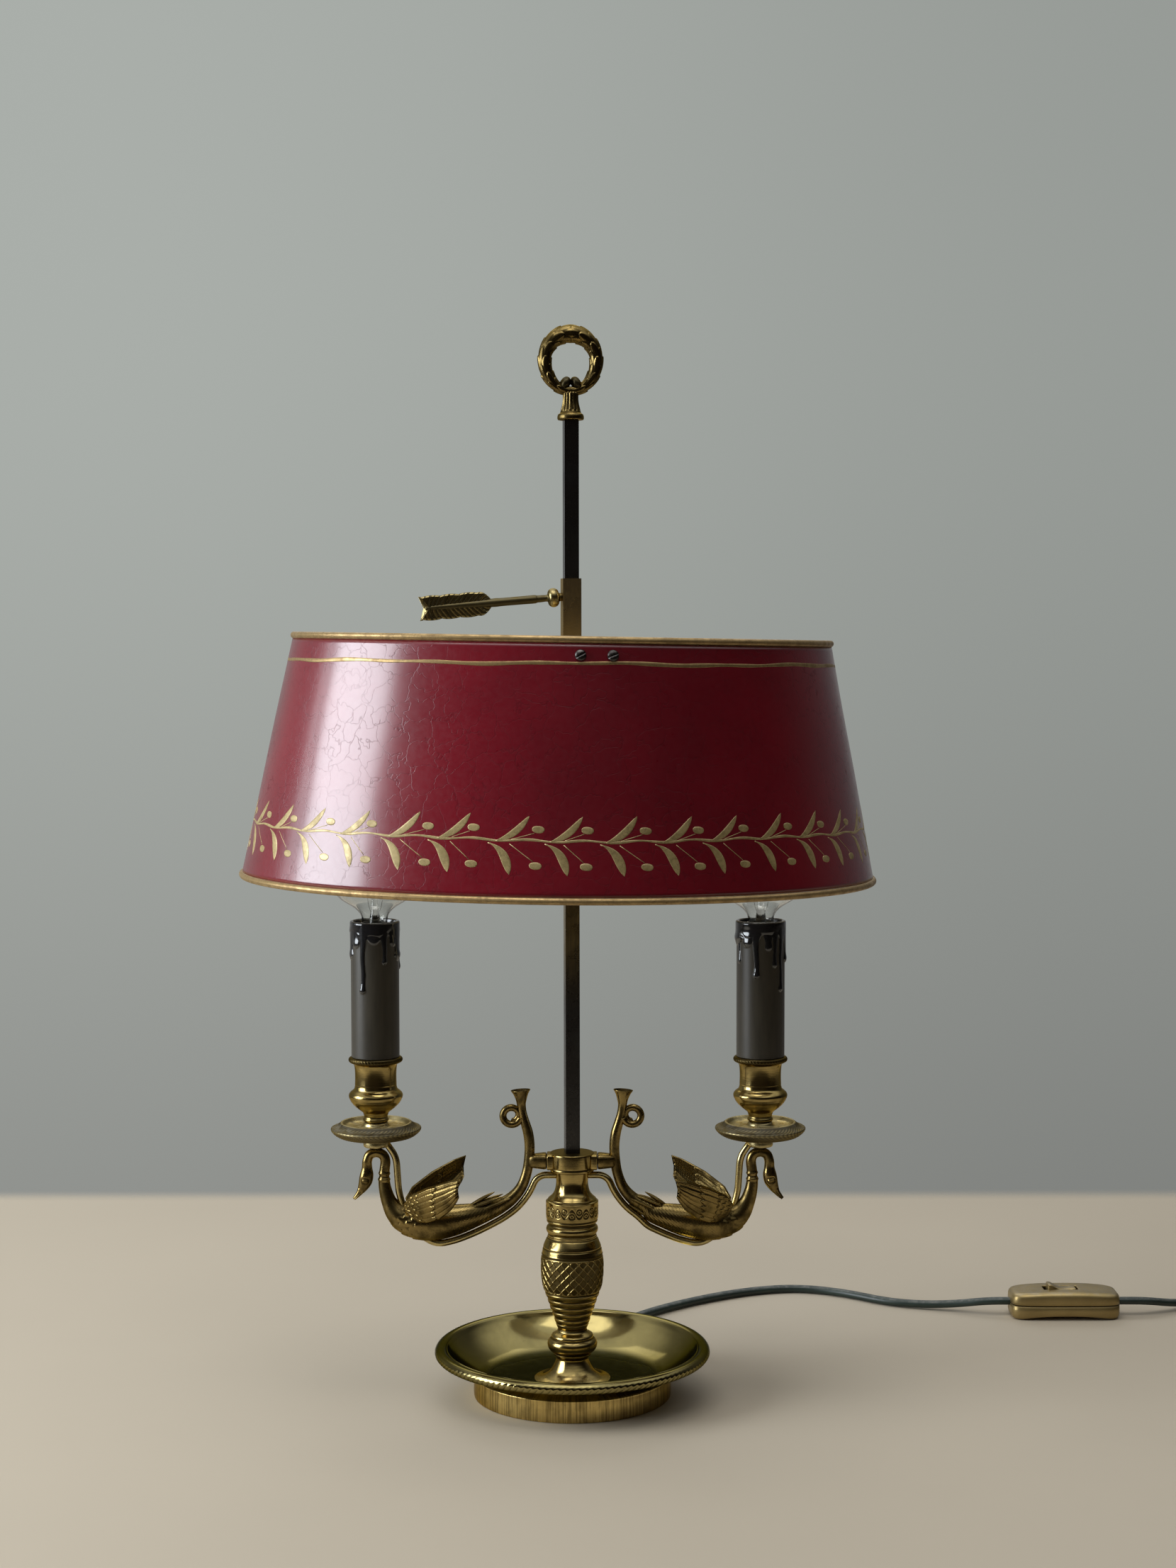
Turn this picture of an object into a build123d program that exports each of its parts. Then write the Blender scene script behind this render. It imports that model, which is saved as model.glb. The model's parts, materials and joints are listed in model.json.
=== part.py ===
from build123d import *
from math import atan, cos, pi, radians, sin, sqrt, tan
import os

os.makedirs("parts", exist_ok=True)

# Two-light table lamp: a brass dish base and turned stem carry two swan arms with candle
# sockets, and a square rod on which an oval painted shade slides and is clamped.
# Millimetres, +Z up. The origin is the middle of the base's underside.

# ---------------------------------------------------------------- driving dimensions
# base
felt_thickness = 1.5
foot_radius = 49.1
foot_wall = 2.5
floor_height = 8.0            # top of the dish floor above the table
floor_radius = 38.0
dish_wall = 1.8
dish_lip_radius = 62.3        # inner edge of the rim
dish_lip_height = 24.1
rim_half_width = 3.1
rim_half_height = 2.7
bore_radius = 5.0             # wiring bore through the stem

# stem, from the dish floor upwards
cone_radius = 19.0
cone_height = 9.9             # floor to the waist of the foot
waist_radius = 7.6
knop_radius = 12.0            # ring on the stem foot
knop_height = 17.8            # floor to the middle of that ring
vase_neck_radius = 7.1
stem_foot_height = 24.9
vase_height = 46.8
vase_belly_radius = 15.5
vase_top_radius = 12.0
collar_band_radius = 13.0
collar_height = 32.3
collar_neck_radius = 7.2
hub_radius = 11.0
hub_height = 9.3
hub_floor = 2.0

# square rod and finial
rod_side = 7.0
rod_height = 360.0            # above the hub
rod_turn = 8.5                # the rod stands turned in the hub by this angle, degrees
rod_tenon_radius = 2.0
rod_tenon_length = 7.0
socket_radius = 6.3
socket_height = 11.7
ring_half_width = 16.05
ring_half_height = 17.35
ring_top_radius = 4.55        # the wreath is thickest at its top
ring_side_radius = 3.35
ring_bottom_radius = 2.5

# tie rod through the stem
tie_radius = 2.5
tie_seat = 14.0               # how far the tie rod goes up into the square rod
nut_across = 9.0
nut_height = 2.2
washer_radius = 8.0
washer_thickness = 0.8
lead_radius = 0.8             # wire from the foot up through the stem

# arms and candle sockets
left_reach = 97.0             # stem axis to candle axis
right_reach = 93.2
lug_height = 8.0
lug_depth = 12.0
lug_length = 8.6
pad_length = 1.6
stud_radius = 2.0
stud_reach = 6.0              # into the hub, and into the arm
conduit_radius = 1.7
conduit_wall = 0.5
conduit_gap = 0.6             # arm to the tube that runs under it
conduit_knee = 17.2           # stem's axis to the bend under the lug
conduit_stations = (9, 16)    # arm stations that the lower tube follows
belly_hole = (20.0, -36.0)    # inward from the candle, above the lug
under_cup_height = 4.6
pan_radius = 22.4
pan_crest_radius = 16.8
pan_crest_height = 13.1       # above the swan's neck
pan_edge_height = 9.4
cup_waist_radius = 5.9
cup_bulge_radius = 13.5
cup_radius = 10.3
cup_wall = 1.2
cup_height = 35.0             # pan floor to the lip of the cup
cup_floor = 17.0              # pan floor to the bottom of its hollow
cup_lip_radius = 13.4
sleeve_radius = 12.0
sleeve_wall = 1.4
sleeve_length = 67.5
nipple_radius = 3.0
nipple_bore = 1.9
wing_thickness = 2.0

# lamps
cap_radius = 6.7
cap_length = 24.0
globe_radius = 22.5
globe_wall = 0.7
globe_shoulder = 35.0         # degrees below its middle where the globe draws in to its neck
glass_seat = 8.0              # how far the glass reaches into the cap
cap_recess = 1.0              # lamp cap below the top of the candle sleeve
lamp_length = 49.0            # top of the cap to the top of the glass

# shade and its carriage
shade_bottom_half = 154.8     # half the long axis at the lower bead
shade_top_half = 131.2
shade_bottom_depth = 125.4    # half the short axis at the lower bead
shade_top_depth = 106.2
shade_height = 115.6
shade_wall = 0.6
bead_radius = 1.6
shade_lean = 1.05             # the shade hangs this far off level, degrees
shade_offset = 3.6            # its middle, at the bridge, lies this far to the left of the rod
slider_side = 9.0
slider_length = 56.0
slider_top = 283.3            # above the hub's top, as the shade stands clamped
shade_drop = 29.7             # slider top down to the shade's upper bead
bridge_width = 22.0
bridge_thickness = 1.5
bridge_drop = 2.2             # shade's upper bead down to the bridge's top
tab_height = 12.0
tab_skin = 1.5                # wall of the tabs at the bridge's ends
screw_drop = 6.9              # shade's upper bead down to the screws
shade_screw_radius = 1.5
shade_nut_across = 5.5
shade_nut_height = 2.2
shade_screw_spacing = 14.7
screw_head_radius = 2.6
screw_head_height = 1.4

# arrow clamp screw
arrow_drop = 8.6              # slider top down to the screw's axis
arrow_droop = 4.8             # degrees below level
arrow_thread_radius = 2.0
knob_radius = 4.4
knob_half_width = 2.4
knob_distance = 8.6           # rod axis to the middle of the knob
shaft_radius = 2.05
feather_start = 38.2
feather_length = 36.4
feather_half_height = 6.1
feather_thickness = 2.4

# cord, switch and plug
cord_diameter = 5.2
exit_turn = 81.8              # the cord leaves the foot at the back, degrees from +X
bush_height = 6.2
bush_neck_radius = 3.35
bush_length = 22.0
switch_length = 60.0
switch_width = 26.0
switch_height = 15.5
switch_seam = 8.0
switch_wall = 1.8
switch_place = (271.5, 140.5)
rocker_length = 16.0
rocker_width = 8.0
rocker_tilt = 8.0
coil_place = (383.0, 146.0)
coil_mid_radius = 28.6
coil_width = 16.4
coil_height = 15.4
plug_width = 35.3
plug_thickness = 13.7
plug_length = 36.0
pin_radius = 2.0
pin_length = 19.0
pin_spacing = 18.6
pin_seat = 8.0                # how far the pins are moulded into the plug
pin_root_radius = 1.5

# clearances
slide_gap = 0.08              # running fits
seat_gap = 0.05               # rods and tubes in their bores
loose_gap = 0.3

# ---------------------------------------------------------------- heights that follow
stem_z = floor_height
vase_z = stem_z + stem_foot_height
collar_z = vase_z + vase_height
hub_z = collar_z + collar_height
hub_top = hub_z + hub_height
rod_foot = hub_z + hub_floor
rod_top = hub_top + rod_height
slider_z = hub_top + slider_top
shade_top_z = slider_z - shade_drop
shade_foot_z = shade_top_z - shade_height
lug_z = hub_top - lug_height / 2 - 0.3
neck_top_z = lug_z + 6.7      # top of the swan's neck, under the drip pan
pan_floor_z = neck_top_z + pan_edge_height + 1.2
cup_lip_z = pan_floor_z + cup_height
sleeve_top_z = cup_lip_z + sleeve_length


def finish(part, name):
    part.label = name
    export_step(part, f"parts/{name}.step")


def turned(angle, height=0.0):
    """Level plane at a height, with its X axis turned by an angle about the stem."""
    x_dir = (cos(radians(angle)), sin(radians(angle)), 0)
    return Plane(origin=(0, 0, height), x_dir=x_dir, z_dir=(0, 0, 1))


# ================================================================ base
exit_dir = Vector(cos(radians(exit_turn)), sin(radians(exit_turn)), 0)
bush_centre = exit_dir * foot_radius + Vector(0, 0, bush_height)
bush_plane = Plane(origin=bush_centre, x_dir=(0, 0, 1), z_dir=exit_dir)
lead_offset = bore_radius - lead_radius - 0.3
lead_height = floor_height - dish_wall - lead_radius

with BuildPart() as felt_pad:
    with BuildSketch():
        Circle(foot_radius - foot_wall - seat_gap)
    extrude(amount=felt_thickness)
finish(felt_pad.part, "felt_pad")

# the dish wall is a cone from the floor's edge to the lip; the foot ring meets its underside
cone_slope = (dish_lip_height - floor_height) / (dish_lip_radius - floor_radius)
wall_drop = dish_wall * sqrt(1 + cone_slope**2)


def under_dish(radius):
    return floor_height + (radius - floor_radius) * cone_slope - wall_drop


with BuildPart() as foot_ring:
    with BuildSketch(Plane.XZ):
        with BuildLine():
            Polyline(
                (foot_radius - foot_wall, 0),
                (foot_radius, 0),
                (foot_radius, under_dish(foot_radius)),
                (foot_radius - foot_wall, under_dish(foot_radius - foot_wall)),
                close=True,
            )
        make_face()
    revolve(axis=Axis.Z)
    with BuildSketch(bush_plane):
        Circle(bush_neck_radius + seat_gap)
    extrude(amount=-2 * foot_wall, mode=Mode.SUBTRACT)
finish(foot_ring.part, "foot_ring")

with BuildPart() as base_dish:
    with BuildSketch(Plane.XZ):
        with BuildLine():
            Polyline(
                (tie_radius + seat_gap, floor_height - dish_wall),
                (floor_radius + (wall_drop - dish_wall) / cone_slope, floor_height - dish_wall),
                (dish_lip_radius + rim_half_width, under_dish(dish_lip_radius + rim_half_width)),
                (dish_lip_radius + rim_half_width, dish_lip_height),
                (dish_lip_radius, dish_lip_height),
                (floor_radius, floor_height),
                (tie_radius + seat_gap, floor_height),
                close=True,
            )
        make_face()
    revolve(axis=Axis.Z)
    with BuildSketch(Plane.XZ):
        with Locations((dish_lip_radius + rim_half_width - 0.2, dish_lip_height - rim_half_height + 0.6)):
            Ellipse(rim_half_width, rim_half_height)
    revolve(axis=Axis.Z)
    with BuildSketch(Plane(origin=exit_dir * lead_offset, x_dir=exit_dir)):
        Circle(lead_radius + seat_gap)
    extrude(amount=2 * floor_height, mode=Mode.SUBTRACT)
finish(base_dish.part, "base_dish")

recess_radius = washer_radius + loose_gap
recess_height = felt_thickness + nut_height + washer_thickness
with BuildPart() as base_weight:
    with BuildSketch(Plane.XY.offset(felt_thickness)):
        Circle(floor_radius)
        Circle(recess_radius, mode=Mode.SUBTRACT)
    extrude(amount=floor_height - dish_wall - felt_thickness)
    with BuildSketch(Plane.XY.offset(recess_height)):
        Circle(recess_radius)
        Circle(tie_radius + seat_gap, mode=Mode.SUBTRACT)
    extrude(amount=floor_height - dish_wall - recess_height)
    with BuildSketch(turned(exit_turn, lead_height - lead_radius - seat_gap)):
        Rectangle(2 * floor_radius, 2 * lead_radius + 2 * seat_gap, align=(Align.MIN, Align.CENTER))
    extrude(amount=floor_height, mode=Mode.SUBTRACT)
finish(base_weight.part, "base_weight")

with BuildPart() as tie_nut:
    with BuildSketch(Plane.XY.offset(felt_thickness)):
        RegularPolygon(nut_across / 2, 6, major_radius=False)
        Circle(tie_radius, mode=Mode.SUBTRACT)
    extrude(amount=nut_height)
finish(tie_nut.part, "tie_nut")

with BuildPart() as tie_washer:
    with BuildSketch(Plane.XY.offset(felt_thickness + nut_height)):
        Circle(washer_radius)
        Circle(tie_radius + seat_gap, mode=Mode.SUBTRACT)
    extrude(amount=washer_thickness)
finish(tie_washer.part, "tie_washer")

tie_top = rod_foot + tie_seat
with BuildPart() as tie_rod:
    with BuildSketch(Plane.XY.offset(felt_thickness)):
        Circle(tie_radius)
    extrude(amount=tie_top - felt_thickness)
finish(tie_rod.part, "tie_rod")

# ================================================================ stem
with BuildPart() as stem_foot:
    with BuildSketch(Plane.XZ):
        with BuildLine():
            l1 = Line((bore_radius, stem_z), (cone_radius, stem_z))
            l2 = Spline(
                l1 @ 1,
                (cone_radius - 8.1, stem_z + 3.8),
                (waist_radius, stem_z + cone_height),
                tangents=[(-1, 0.15), (0, 1)],
            )
            l3 = Spline(
                l2 @ 1,
                (knop_radius - 0.8, stem_z + knop_height - 2.6),
                (knop_radius, stem_z + knop_height),
                tangents=[(0, 1), (0, 1)],
            )
            l4 = Spline(
                l3 @ 1,
                (knop_radius - 1.5, stem_z + knop_height + 3.6),
                (vase_neck_radius, vase_z),
                tangents=[(0, 1), (-0.4, 1)],
            )
            l5 = Line(l4 @ 1, (bore_radius, vase_z))
            Line(l5 @ 1, l1 @ 0)
        make_face()
    revolve(axis=Axis.Z)
finish(stem_foot.part, "stem_foot")

belly_z = vase_z + 0.70 * vase_height
with BuildPart() as stem_vase:
    with BuildSketch(Plane.XZ):
        with BuildLine():
            l1 = Line((bore_radius, vase_z), (vase_neck_radius, vase_z))
            l2 = Spline(
                l1 @ 1,
                (vase_neck_radius + 3.1, vase_z + 10.8),
                (vase_belly_radius - 2.8, vase_z + 16.3),
                (vase_belly_radius, belly_z),
                tangents=[(0.45, 1), (0, 1)],
            )
            l3 = Spline(
                l2 @ 1,
                (vase_top_radius, vase_z + vase_height),
                tangents=[(0, 1), (-0.55, 1)],
            )
            l4 = Line(l3 @ 1, (bore_radius, vase_z + vase_height))
            Line(l4 @ 1, l1 @ 0)
        make_face()
    revolve(axis=Axis.Z)
finish(stem_vase.part, "stem_vase")

# ring, groove, engraved band, then a shoulder and a slim neck under the hub
conduit_z = hub_z - conduit_radius - 0.4
with BuildPart() as stem_collar:
    with BuildSketch(Plane.XZ):
        with BuildLine():
            l1 = Polyline(
                (bore_radius, collar_z),
                (vase_top_radius, collar_z),
                (vase_top_radius, collar_z + 1.0),
            )
            l2 = ThreePointArc(
                l1 @ 1,
                (collar_band_radius - 0.3, collar_z + 3.3),
                (collar_band_radius - 1.2, collar_z + 5.4),
            )
            l3 = Polyline(
                l2 @ 1,
                (collar_band_radius - 0.5, collar_z + 7.2),
                (collar_band_radius, collar_z + 9.7),
                (collar_band_radius, collar_z + 15.0),
                (collar_band_radius - 0.6, collar_z + 17.5),
            )
            l4 = Spline(
                l3 @ 1,
                (collar_neck_radius + 2.0, collar_z + 20.6),
                (collar_neck_radius, collar_z + 25.0),
                (collar_neck_radius + 1.2, hub_z),
                tangents=[(-1, 0.25), (0.4, 1)],
            )
            l5 = Line(l4 @ 1, (bore_radius, hub_z))
            Line(l5 @ 1, l1 @ 0)
        make_face()
    revolve(axis=Axis.Z)
    with BuildSketch(Plane.YZ):
        with Locations((0, conduit_z)):
            Circle(conduit_radius + seat_gap)
    extrude(amount=hub_radius, both=True, mode=Mode.SUBTRACT)
finish(stem_collar.part, "stem_collar")

pad_face = hub_radius + pad_length
lead_start = foot_radius - foot_wall - 1.4
with BuildPart() as inner_lead:
    with BuildSketch(Plane(origin=exit_dir * lead_start + Vector(0, 0, lead_height), z_dir=-exit_dir)):
        Circle(lead_radius)
    extrude(amount=lead_start - lead_offset)
    with BuildSketch(Plane(origin=exit_dir * lead_offset + Vector(0, 0, lead_height))):
        Circle(lead_radius)
    extrude(amount=conduit_z - lead_height)
finish(inner_lead.part, "inner_lead")

with BuildPart() as arm_hub:
    with BuildSketch(Plane.XY.offset(hub_z)):
        Circle(hub_radius)
    extrude(amount=hub_height)
    with BuildSketch(Plane.YZ):
        with Locations((0, lug_z)):
            Rectangle(lug_depth, lug_height)
    extrude(amount=pad_face, both=True)
    with BuildSketch(turned(rod_turn, rod_foot)):
        Rectangle(rod_side + 2 * seat_gap, rod_side + 2 * seat_gap)
    extrude(amount=hub_height, mode=Mode.SUBTRACT)
    with BuildSketch(Plane.XY.offset(hub_z)):
        Circle(tie_radius + seat_gap)
    extrude(amount=hub_floor, mode=Mode.SUBTRACT)
    with BuildSketch(Plane.YZ.offset(-pad_face)):
        with Locations((0, lug_z)):
            Circle(stud_radius)
    extrude(amount=stud_reach, mode=Mode.SUBTRACT)
    with BuildSketch(Plane.YZ.offset(pad_face - stud_reach)):
        with Locations((0, lug_z)):
            Circle(stud_radius)
    extrude(amount=stud_reach, mode=Mode.SUBTRACT)
finish(arm_hub.part, "arm_hub")

with BuildPart() as arm_studs:
    for side in (-1, 1):
        with BuildSketch(Plane.YZ.offset(side * pad_face - stud_reach)):
            with Locations((0, lug_z)):
                Circle(stud_radius)
        extrude(amount=2 * stud_reach)
finish(arm_studs.part, "arm_studs")

# ================================================================ rod and finial
with BuildPart() as upright_rod:
    with BuildSketch(turned(rod_turn, rod_foot)):
        Rectangle(rod_side, rod_side)
        Circle(tie_radius, mode=Mode.SUBTRACT)
    extrude(amount=tie_top - rod_foot)
    with BuildSketch(turned(rod_turn, tie_top)):
        Rectangle(rod_side, rod_side)
    extrude(amount=rod_top - tie_top)
    with BuildSketch(Plane.XY.offset(rod_top)):
        Circle(rod_tenon_radius)
    extrude(amount=rod_tenon_length)
finish(upright_rod.part, "upright_rod")

socket_top = rod_top + socket_height
with BuildPart() as finial_socket:
    with BuildSketch(Plane.XZ):
        with BuildLine():
            l1 = Polyline(
                (rod_tenon_radius, rod_top),
                (socket_radius, rod_top),
                (socket_radius, rod_top + 2.2),
                (socket_radius - 1.4, rod_top + 4.6),
            )
            l2 = Spline(
                l1 @ 1,
                (socket_radius - 2.5, rod_top + 8.0),
                (socket_radius - 2.3, socket_top),
                tangents=[(-0.6, 1), (0.1, 1)],
            )
            Polyline(
                l2 @ 1,
                (0, socket_top),
                (0, rod_top + rod_tenon_length),
                (rod_tenon_radius, rod_top + rod_tenon_length),
                (rod_tenon_radius, rod_top),
            )
        make_face()
    revolve(axis=Axis.Z)
finish(finial_socket.part, "finial_socket")

# the wreath ring: round sections along an upright oval, thickening towards the top
ring_z = socket_top + ring_half_height
ring_path_width = ring_half_width - ring_side_radius
ring_path_low = ring_half_height - ring_bottom_radius
ring_path_high = ring_half_height - ring_top_radius
ring_steps = 12
ring_frame = turned(rod_turn, ring_z)
with BuildPart() as finial_ring:
    for step in range(ring_steps + 1):
        angle = pi * step / ring_steps
        rise = ring_path_high if cos(angle) < 0 else ring_path_low
        if cos(angle) < 0:
            radius = ring_side_radius + (ring_top_radius - ring_side_radius) * cos(angle) ** 2
        else:
            radius = ring_side_radius + (ring_bottom_radius - ring_side_radius) * cos(angle) ** 2
        centre = ring_frame.from_local_coords(Vector(ring_path_width * sin(angle), 0, -rise * cos(angle)))
        tangent = ring_frame.x_dir * (ring_path_width * cos(angle)) + Vector(0, 0, rise * sin(angle))
        with BuildSketch(Plane(origin=centre, x_dir=ring_frame.y_dir, z_dir=tangent)):
            Circle(radius)
    loft()
    mirror(about=Plane(origin=(0, 0, 0), z_dir=ring_frame.x_dir))
finish(finial_ring.part, "finial_ring")

with BuildPart() as ring_clasp:
    with BuildSketch(Plane.XZ):
        with BuildLine():
            l1 = Line((0, socket_top), (socket_radius - 2.3, socket_top))
            l2 = Spline(
                l1 @ 1,
                (5.6, socket_top + 4.4),
                (4.6, socket_top + 8.2),
                (0, socket_top + 9.2),
                tangents=[(1, 1), (-1, 0)],
            )
            Line(l2 @ 1, l1 @ 0)
        make_face()
    revolve(axis=Axis.Z)
    add(finial_ring.part, mode=Mode.SUBTRACT)
finish(ring_clasp.part, "ring_clasp")

# ================================================================ swan arms
# Sections of one arm casting: outward from the stem axis for the arm itself, inward from the
# candle axis for the swan, then height from the lug's middle, half height, half width.
arm_sections = [
    (25.4, 35.4, 4.8, 4.8),
    (25.2, 31.6, 3.1, 3.1),
    (25.0, 28.0, 2.2, 2.2),
    (24.4, 23.8, 2.1, 2.1),
    (23.2, 19.2, 2.3, 2.3),
    (21.7, 13.8, 2.5, 2.5),
    (21.0, 7.8, 2.5, 2.5),
    (21.3, 1.0, 2.5, 2.5),
    (22.6, -6.5, 2.5, 2.5),
    (25.4, -13.5, 2.7, 2.7),
    (30.2, -19.0, 3.2, 3.2),
    (36.5, -23.0, 3.9, 3.7),
]
swan_sections = [
    (52.9, -26.0, 5.0, 4.6),
    (45.5, -28.0, 6.5, 6.0),
    (37.5, -29.8, 7.9, 7.3),
    (29.0, -30.8, 8.8, 8.2),
    (21.0, -30.7, 8.7, 8.2),
    (14.2, -29.0, 7.2, 6.8),
    (9.4, -25.4, 5.3, 5.1),
    (6.4, -20.6, 3.9, 3.8),
    (4.7, -15.6, 3.3, 3.2),
    (3.9, -10.6, 2.9, 2.8),
    (4.0, -5.4, 2.6, 2.5),
    (4.5, 0.0, 2.5, 2.4),
    (3.2, 3.1, 2.45, 2.4),
    (0.0, 4.3, 2.4, 2.4),
    (-3.2, 3.1, 2.4, 2.4),
    (-4.5, 0.0, 2.4, 2.4),
    (-4.6, -3.4, 2.7, 2.5),
    (-4.7, -7.0, 3.4, 3.0),
    (-5.5, -10.6, 3.3, 2.9),
    (-7.2, -14.0, 2.3, 1.9),
    (-9.2, -16.8, 1.4, 1.1),
    (-11.0, -18.8, 0.7, 0.6),
]
curl_place = (30.0, 22.6)     # outward from the stem, above the lug
curl_radius = 3.95
curl_tube = 1.65

# wing: outline along the leading edge and down from it, hung on the swan's flank
wing_front = (12.4, 7.2, -17.8)    # inward from the candle, beside the arm, above the lug
wing_tip = (42.7, 30.0, -3.9)
wing_low = (21.0, 7.8, -31.0)
wing_outline = [
    (0, 0),
    (20, 2.0),
    (40.2, 0.6),
    (38.6, -5.0),
    (36.4, -9.6),
    (32.0, -13.4),
    (20, -15.4),
    (8, -15.2),
    (0, -11),
]


def tube(route, radius, hole=0.0):
    """Straight runs joined by tangent arcs, each arc as large as its two runs allow."""
    radii = []
    for before, corner, after in zip(route, route[1:], route[2:]):
        turn = radians((corner - before).get_angle(after - corner))
        shorter = min((corner - before).length, (after - corner).length)
        radii.append(0.45 * shorter / tan(turn / 2))
    with BuildPart(mode=Mode.PRIVATE) as run:
        with BuildLine():
            path = FilletPolyline(*route, radius=radii)
        with BuildSketch(Plane(origin=path @ 0, z_dir=path % 0)):
            Circle(radius)
            if hole:
                Circle(hole, mode=Mode.SUBTRACT)
        sweep()
    return run.part, path.length, radii


for name, side, reach in (("left", -1, left_reach), ("right", 1, right_reach)):

    def at(outward, height, beside=0.0):
        return Vector(side * outward, beside, lug_z + height)

    def from_candle(inward, height, beside=0.0):
        return at(reach - inward, height, beside)

    stations = [(at(o, h), a, b) for o, h, a, b in arm_sections]
    stations += [(from_candle(i, h), a, b) for i, h, a, b in swan_sections]

    def under(index):
        centre, half_height, _ = stations[index]
        run = stations[index + 1][0] - stations[index - 1][0]
        square = Vector(side * run.Z, 0, -side * run.X).normalized()
        return centre + square * (half_height + conduit_radius + conduit_gap)

    # thin brass tubes that carry the wires: stem to body, and body to candle socket
    lower_route = [
        Vector(side * (bore_radius + 0.4), 0, conduit_z),
        Vector(side * conduit_knee, 0, conduit_z),
        *[under(index) for index in range(*conduit_stations)],
        from_candle(*belly_hole),
    ]
    upper_route = [
        from_candle(4.9, 9.1),
        from_candle(9.9, 2.0),
        from_candle(11.0, -15.5),
        from_candle(13.5, -24.0),
    ]
    bores = []
    for level, route in (("lower", lower_route), ("upper", upper_route)):
        conduit, _, _ = tube(route, conduit_radius, conduit_radius - conduit_wall)
        finish(conduit, f"conduit_{name}_{level}")
        bores.append(tube(route, conduit_radius)[0])

    with BuildPart() as arm:
        for index, (centre, half_height, half_width) in enumerate(stations):
            before = stations[max(index - 1, 0)][0]
            after = stations[min(index + 1, len(stations) - 1)][0]
            with BuildSketch(Plane(origin=centre, x_dir=(0, 1, 0), z_dir=after - before)):
                Ellipse(half_width, half_height)
        loft(ruled=True)
        with Locations(Location(at(*curl_place), (90, 0, 0))):
            Torus(curl_radius, curl_tube)
        with BuildSketch(Plane.YZ.offset(side * pad_face)):
            with Locations((0, lug_z)):
                Rectangle(lug_depth - 1.0, lug_height)
        with BuildSketch(Plane.YZ.offset(side * (pad_face + lug_length))):
            with Locations((0, lug_z)):
                Rectangle(lug_depth - 5.0, lug_height - 1.5)
        loft()
        with BuildSketch(Plane.YZ.offset(side * (pad_face + stud_reach / 2) - stud_reach / 2)):
            with Locations((0, lug_z)):
                Circle(stud_radius)
        extrude(amount=stud_reach, mode=Mode.SUBTRACT)
        add(bores, mode=Mode.SUBTRACT)
    finish(arm.part, f"arm_{name}")

    for flank, beside in (("front", -1), ("back", 1)):
        front = from_candle(wing_front[0], wing_front[2], beside * wing_front[1])
        tip = from_candle(wing_tip[0], wing_tip[2], beside * wing_tip[1])
        low = from_candle(wing_low[0], wing_low[2], beside * wing_low[1])
        wing_plane = Plane(origin=front, x_dir=tip - front, z_dir=(tip - front).cross(front - low))
        with BuildPart() as wing:
            with BuildSketch(wing_plane):
                with BuildLine():
                    Polyline(*wing_outline, close=True)
                make_face()
            extrude(amount=wing_thickness / 2, both=True)
            add(arm.part, mode=Mode.SUBTRACT)
        finish(wing.part, f"wing_{name}_{flank}")

    # candle socket: drip pan with its under-cup, turned cup, sleeve, holder and lamp
    candle_x = side * reach
    axis = Plane(origin=(candle_x, 0, 0), x_dir=(1, 0, 0), z_dir=(0, -1, 0))
    spin = Axis((candle_x, 0, 0), (0, 0, 1))
    crest_z = neck_top_z + pan_crest_height
    edge_z = neck_top_z + pan_edge_height
    pan_under_z = neck_top_z + under_cup_height
    with BuildPart() as drip_pan:
        with BuildSketch(axis):
            with BuildLine():
                Polyline(
                    (0, neck_top_z),
                    (cup_waist_radius - 0.8, neck_top_z),
                    (cup_waist_radius + 0.4, pan_under_z),
                    (pan_crest_radius, edge_z - 2.2),
                    (pan_radius - 0.5, edge_z - 0.8),
                    (pan_radius, edge_z + 0.3),
                    (pan_crest_radius, crest_z),
                    (pan_crest_radius - 1.4, crest_z),
                    (cup_waist_radius + 4.0, pan_floor_z),
                    (nipple_radius + seat_gap, pan_floor_z),
                    (nipple_radius + seat_gap, neck_top_z + 1.5),
                    (0, neck_top_z + 1.5),
                    close=True,
                )
            make_face()
        revolve(axis=spin)
        add(bores[1], mode=Mode.SUBTRACT)
    finish(drip_pan.part, f"drip_pan_{name}")

    cup_floor_z = pan_floor_z + cup_floor
    with BuildPart() as candle_cup:
        with BuildSketch(axis):
            with BuildLine():
                l1 = Polyline(
                    (nipple_radius + seat_gap, pan_floor_z),
                    (cup_waist_radius + 0.6, pan_floor_z),
                    (cup_waist_radius, pan_floor_z + 2.5),
                    (cup_waist_radius + 0.3, pan_floor_z + 7.0),
                )
                l2 = Spline(
                    l1 @ 1,
                    (cup_bulge_radius - 2.4, pan_floor_z + 11.0),
                    (cup_bulge_radius, pan_floor_z + 15.4),
                    (cup_radius + 1.2, pan_floor_z + 18.8),
                    tangents=[(0.4, 1), (-1, 0.6)],
                )
                Polyline(
                    l2 @ 1,
                    (cup_radius, pan_floor_z + 19.6),
                    (cup_radius, cup_lip_z - 3.0),
                    (cup_lip_radius, cup_lip_z - 1.8),
                    (cup_lip_radius, cup_lip_z - 0.4),
                    (cup_lip_radius - 0.4, cup_lip_z),
                    (cup_radius - cup_wall, cup_lip_z),
                    (cup_radius - cup_wall, cup_floor_z),
                    (nipple_radius + seat_gap, cup_floor_z),
                    (nipple_radius + seat_gap, pan_floor_z),
                )
            make_face()
        revolve(axis=spin)
    finish(candle_cup.part, f"candle_cup_{name}")

    with BuildPart() as candle_sleeve:
        with BuildSketch(Plane(origin=(candle_x, 0, cup_lip_z))):
            Circle(sleeve_radius)
            Circle(sleeve_radius - sleeve_wall, mode=Mode.SUBTRACT)
        extrude(amount=sleeve_length)
    finish(candle_sleeve.part, f"candle_sleeve_{name}")

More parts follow.
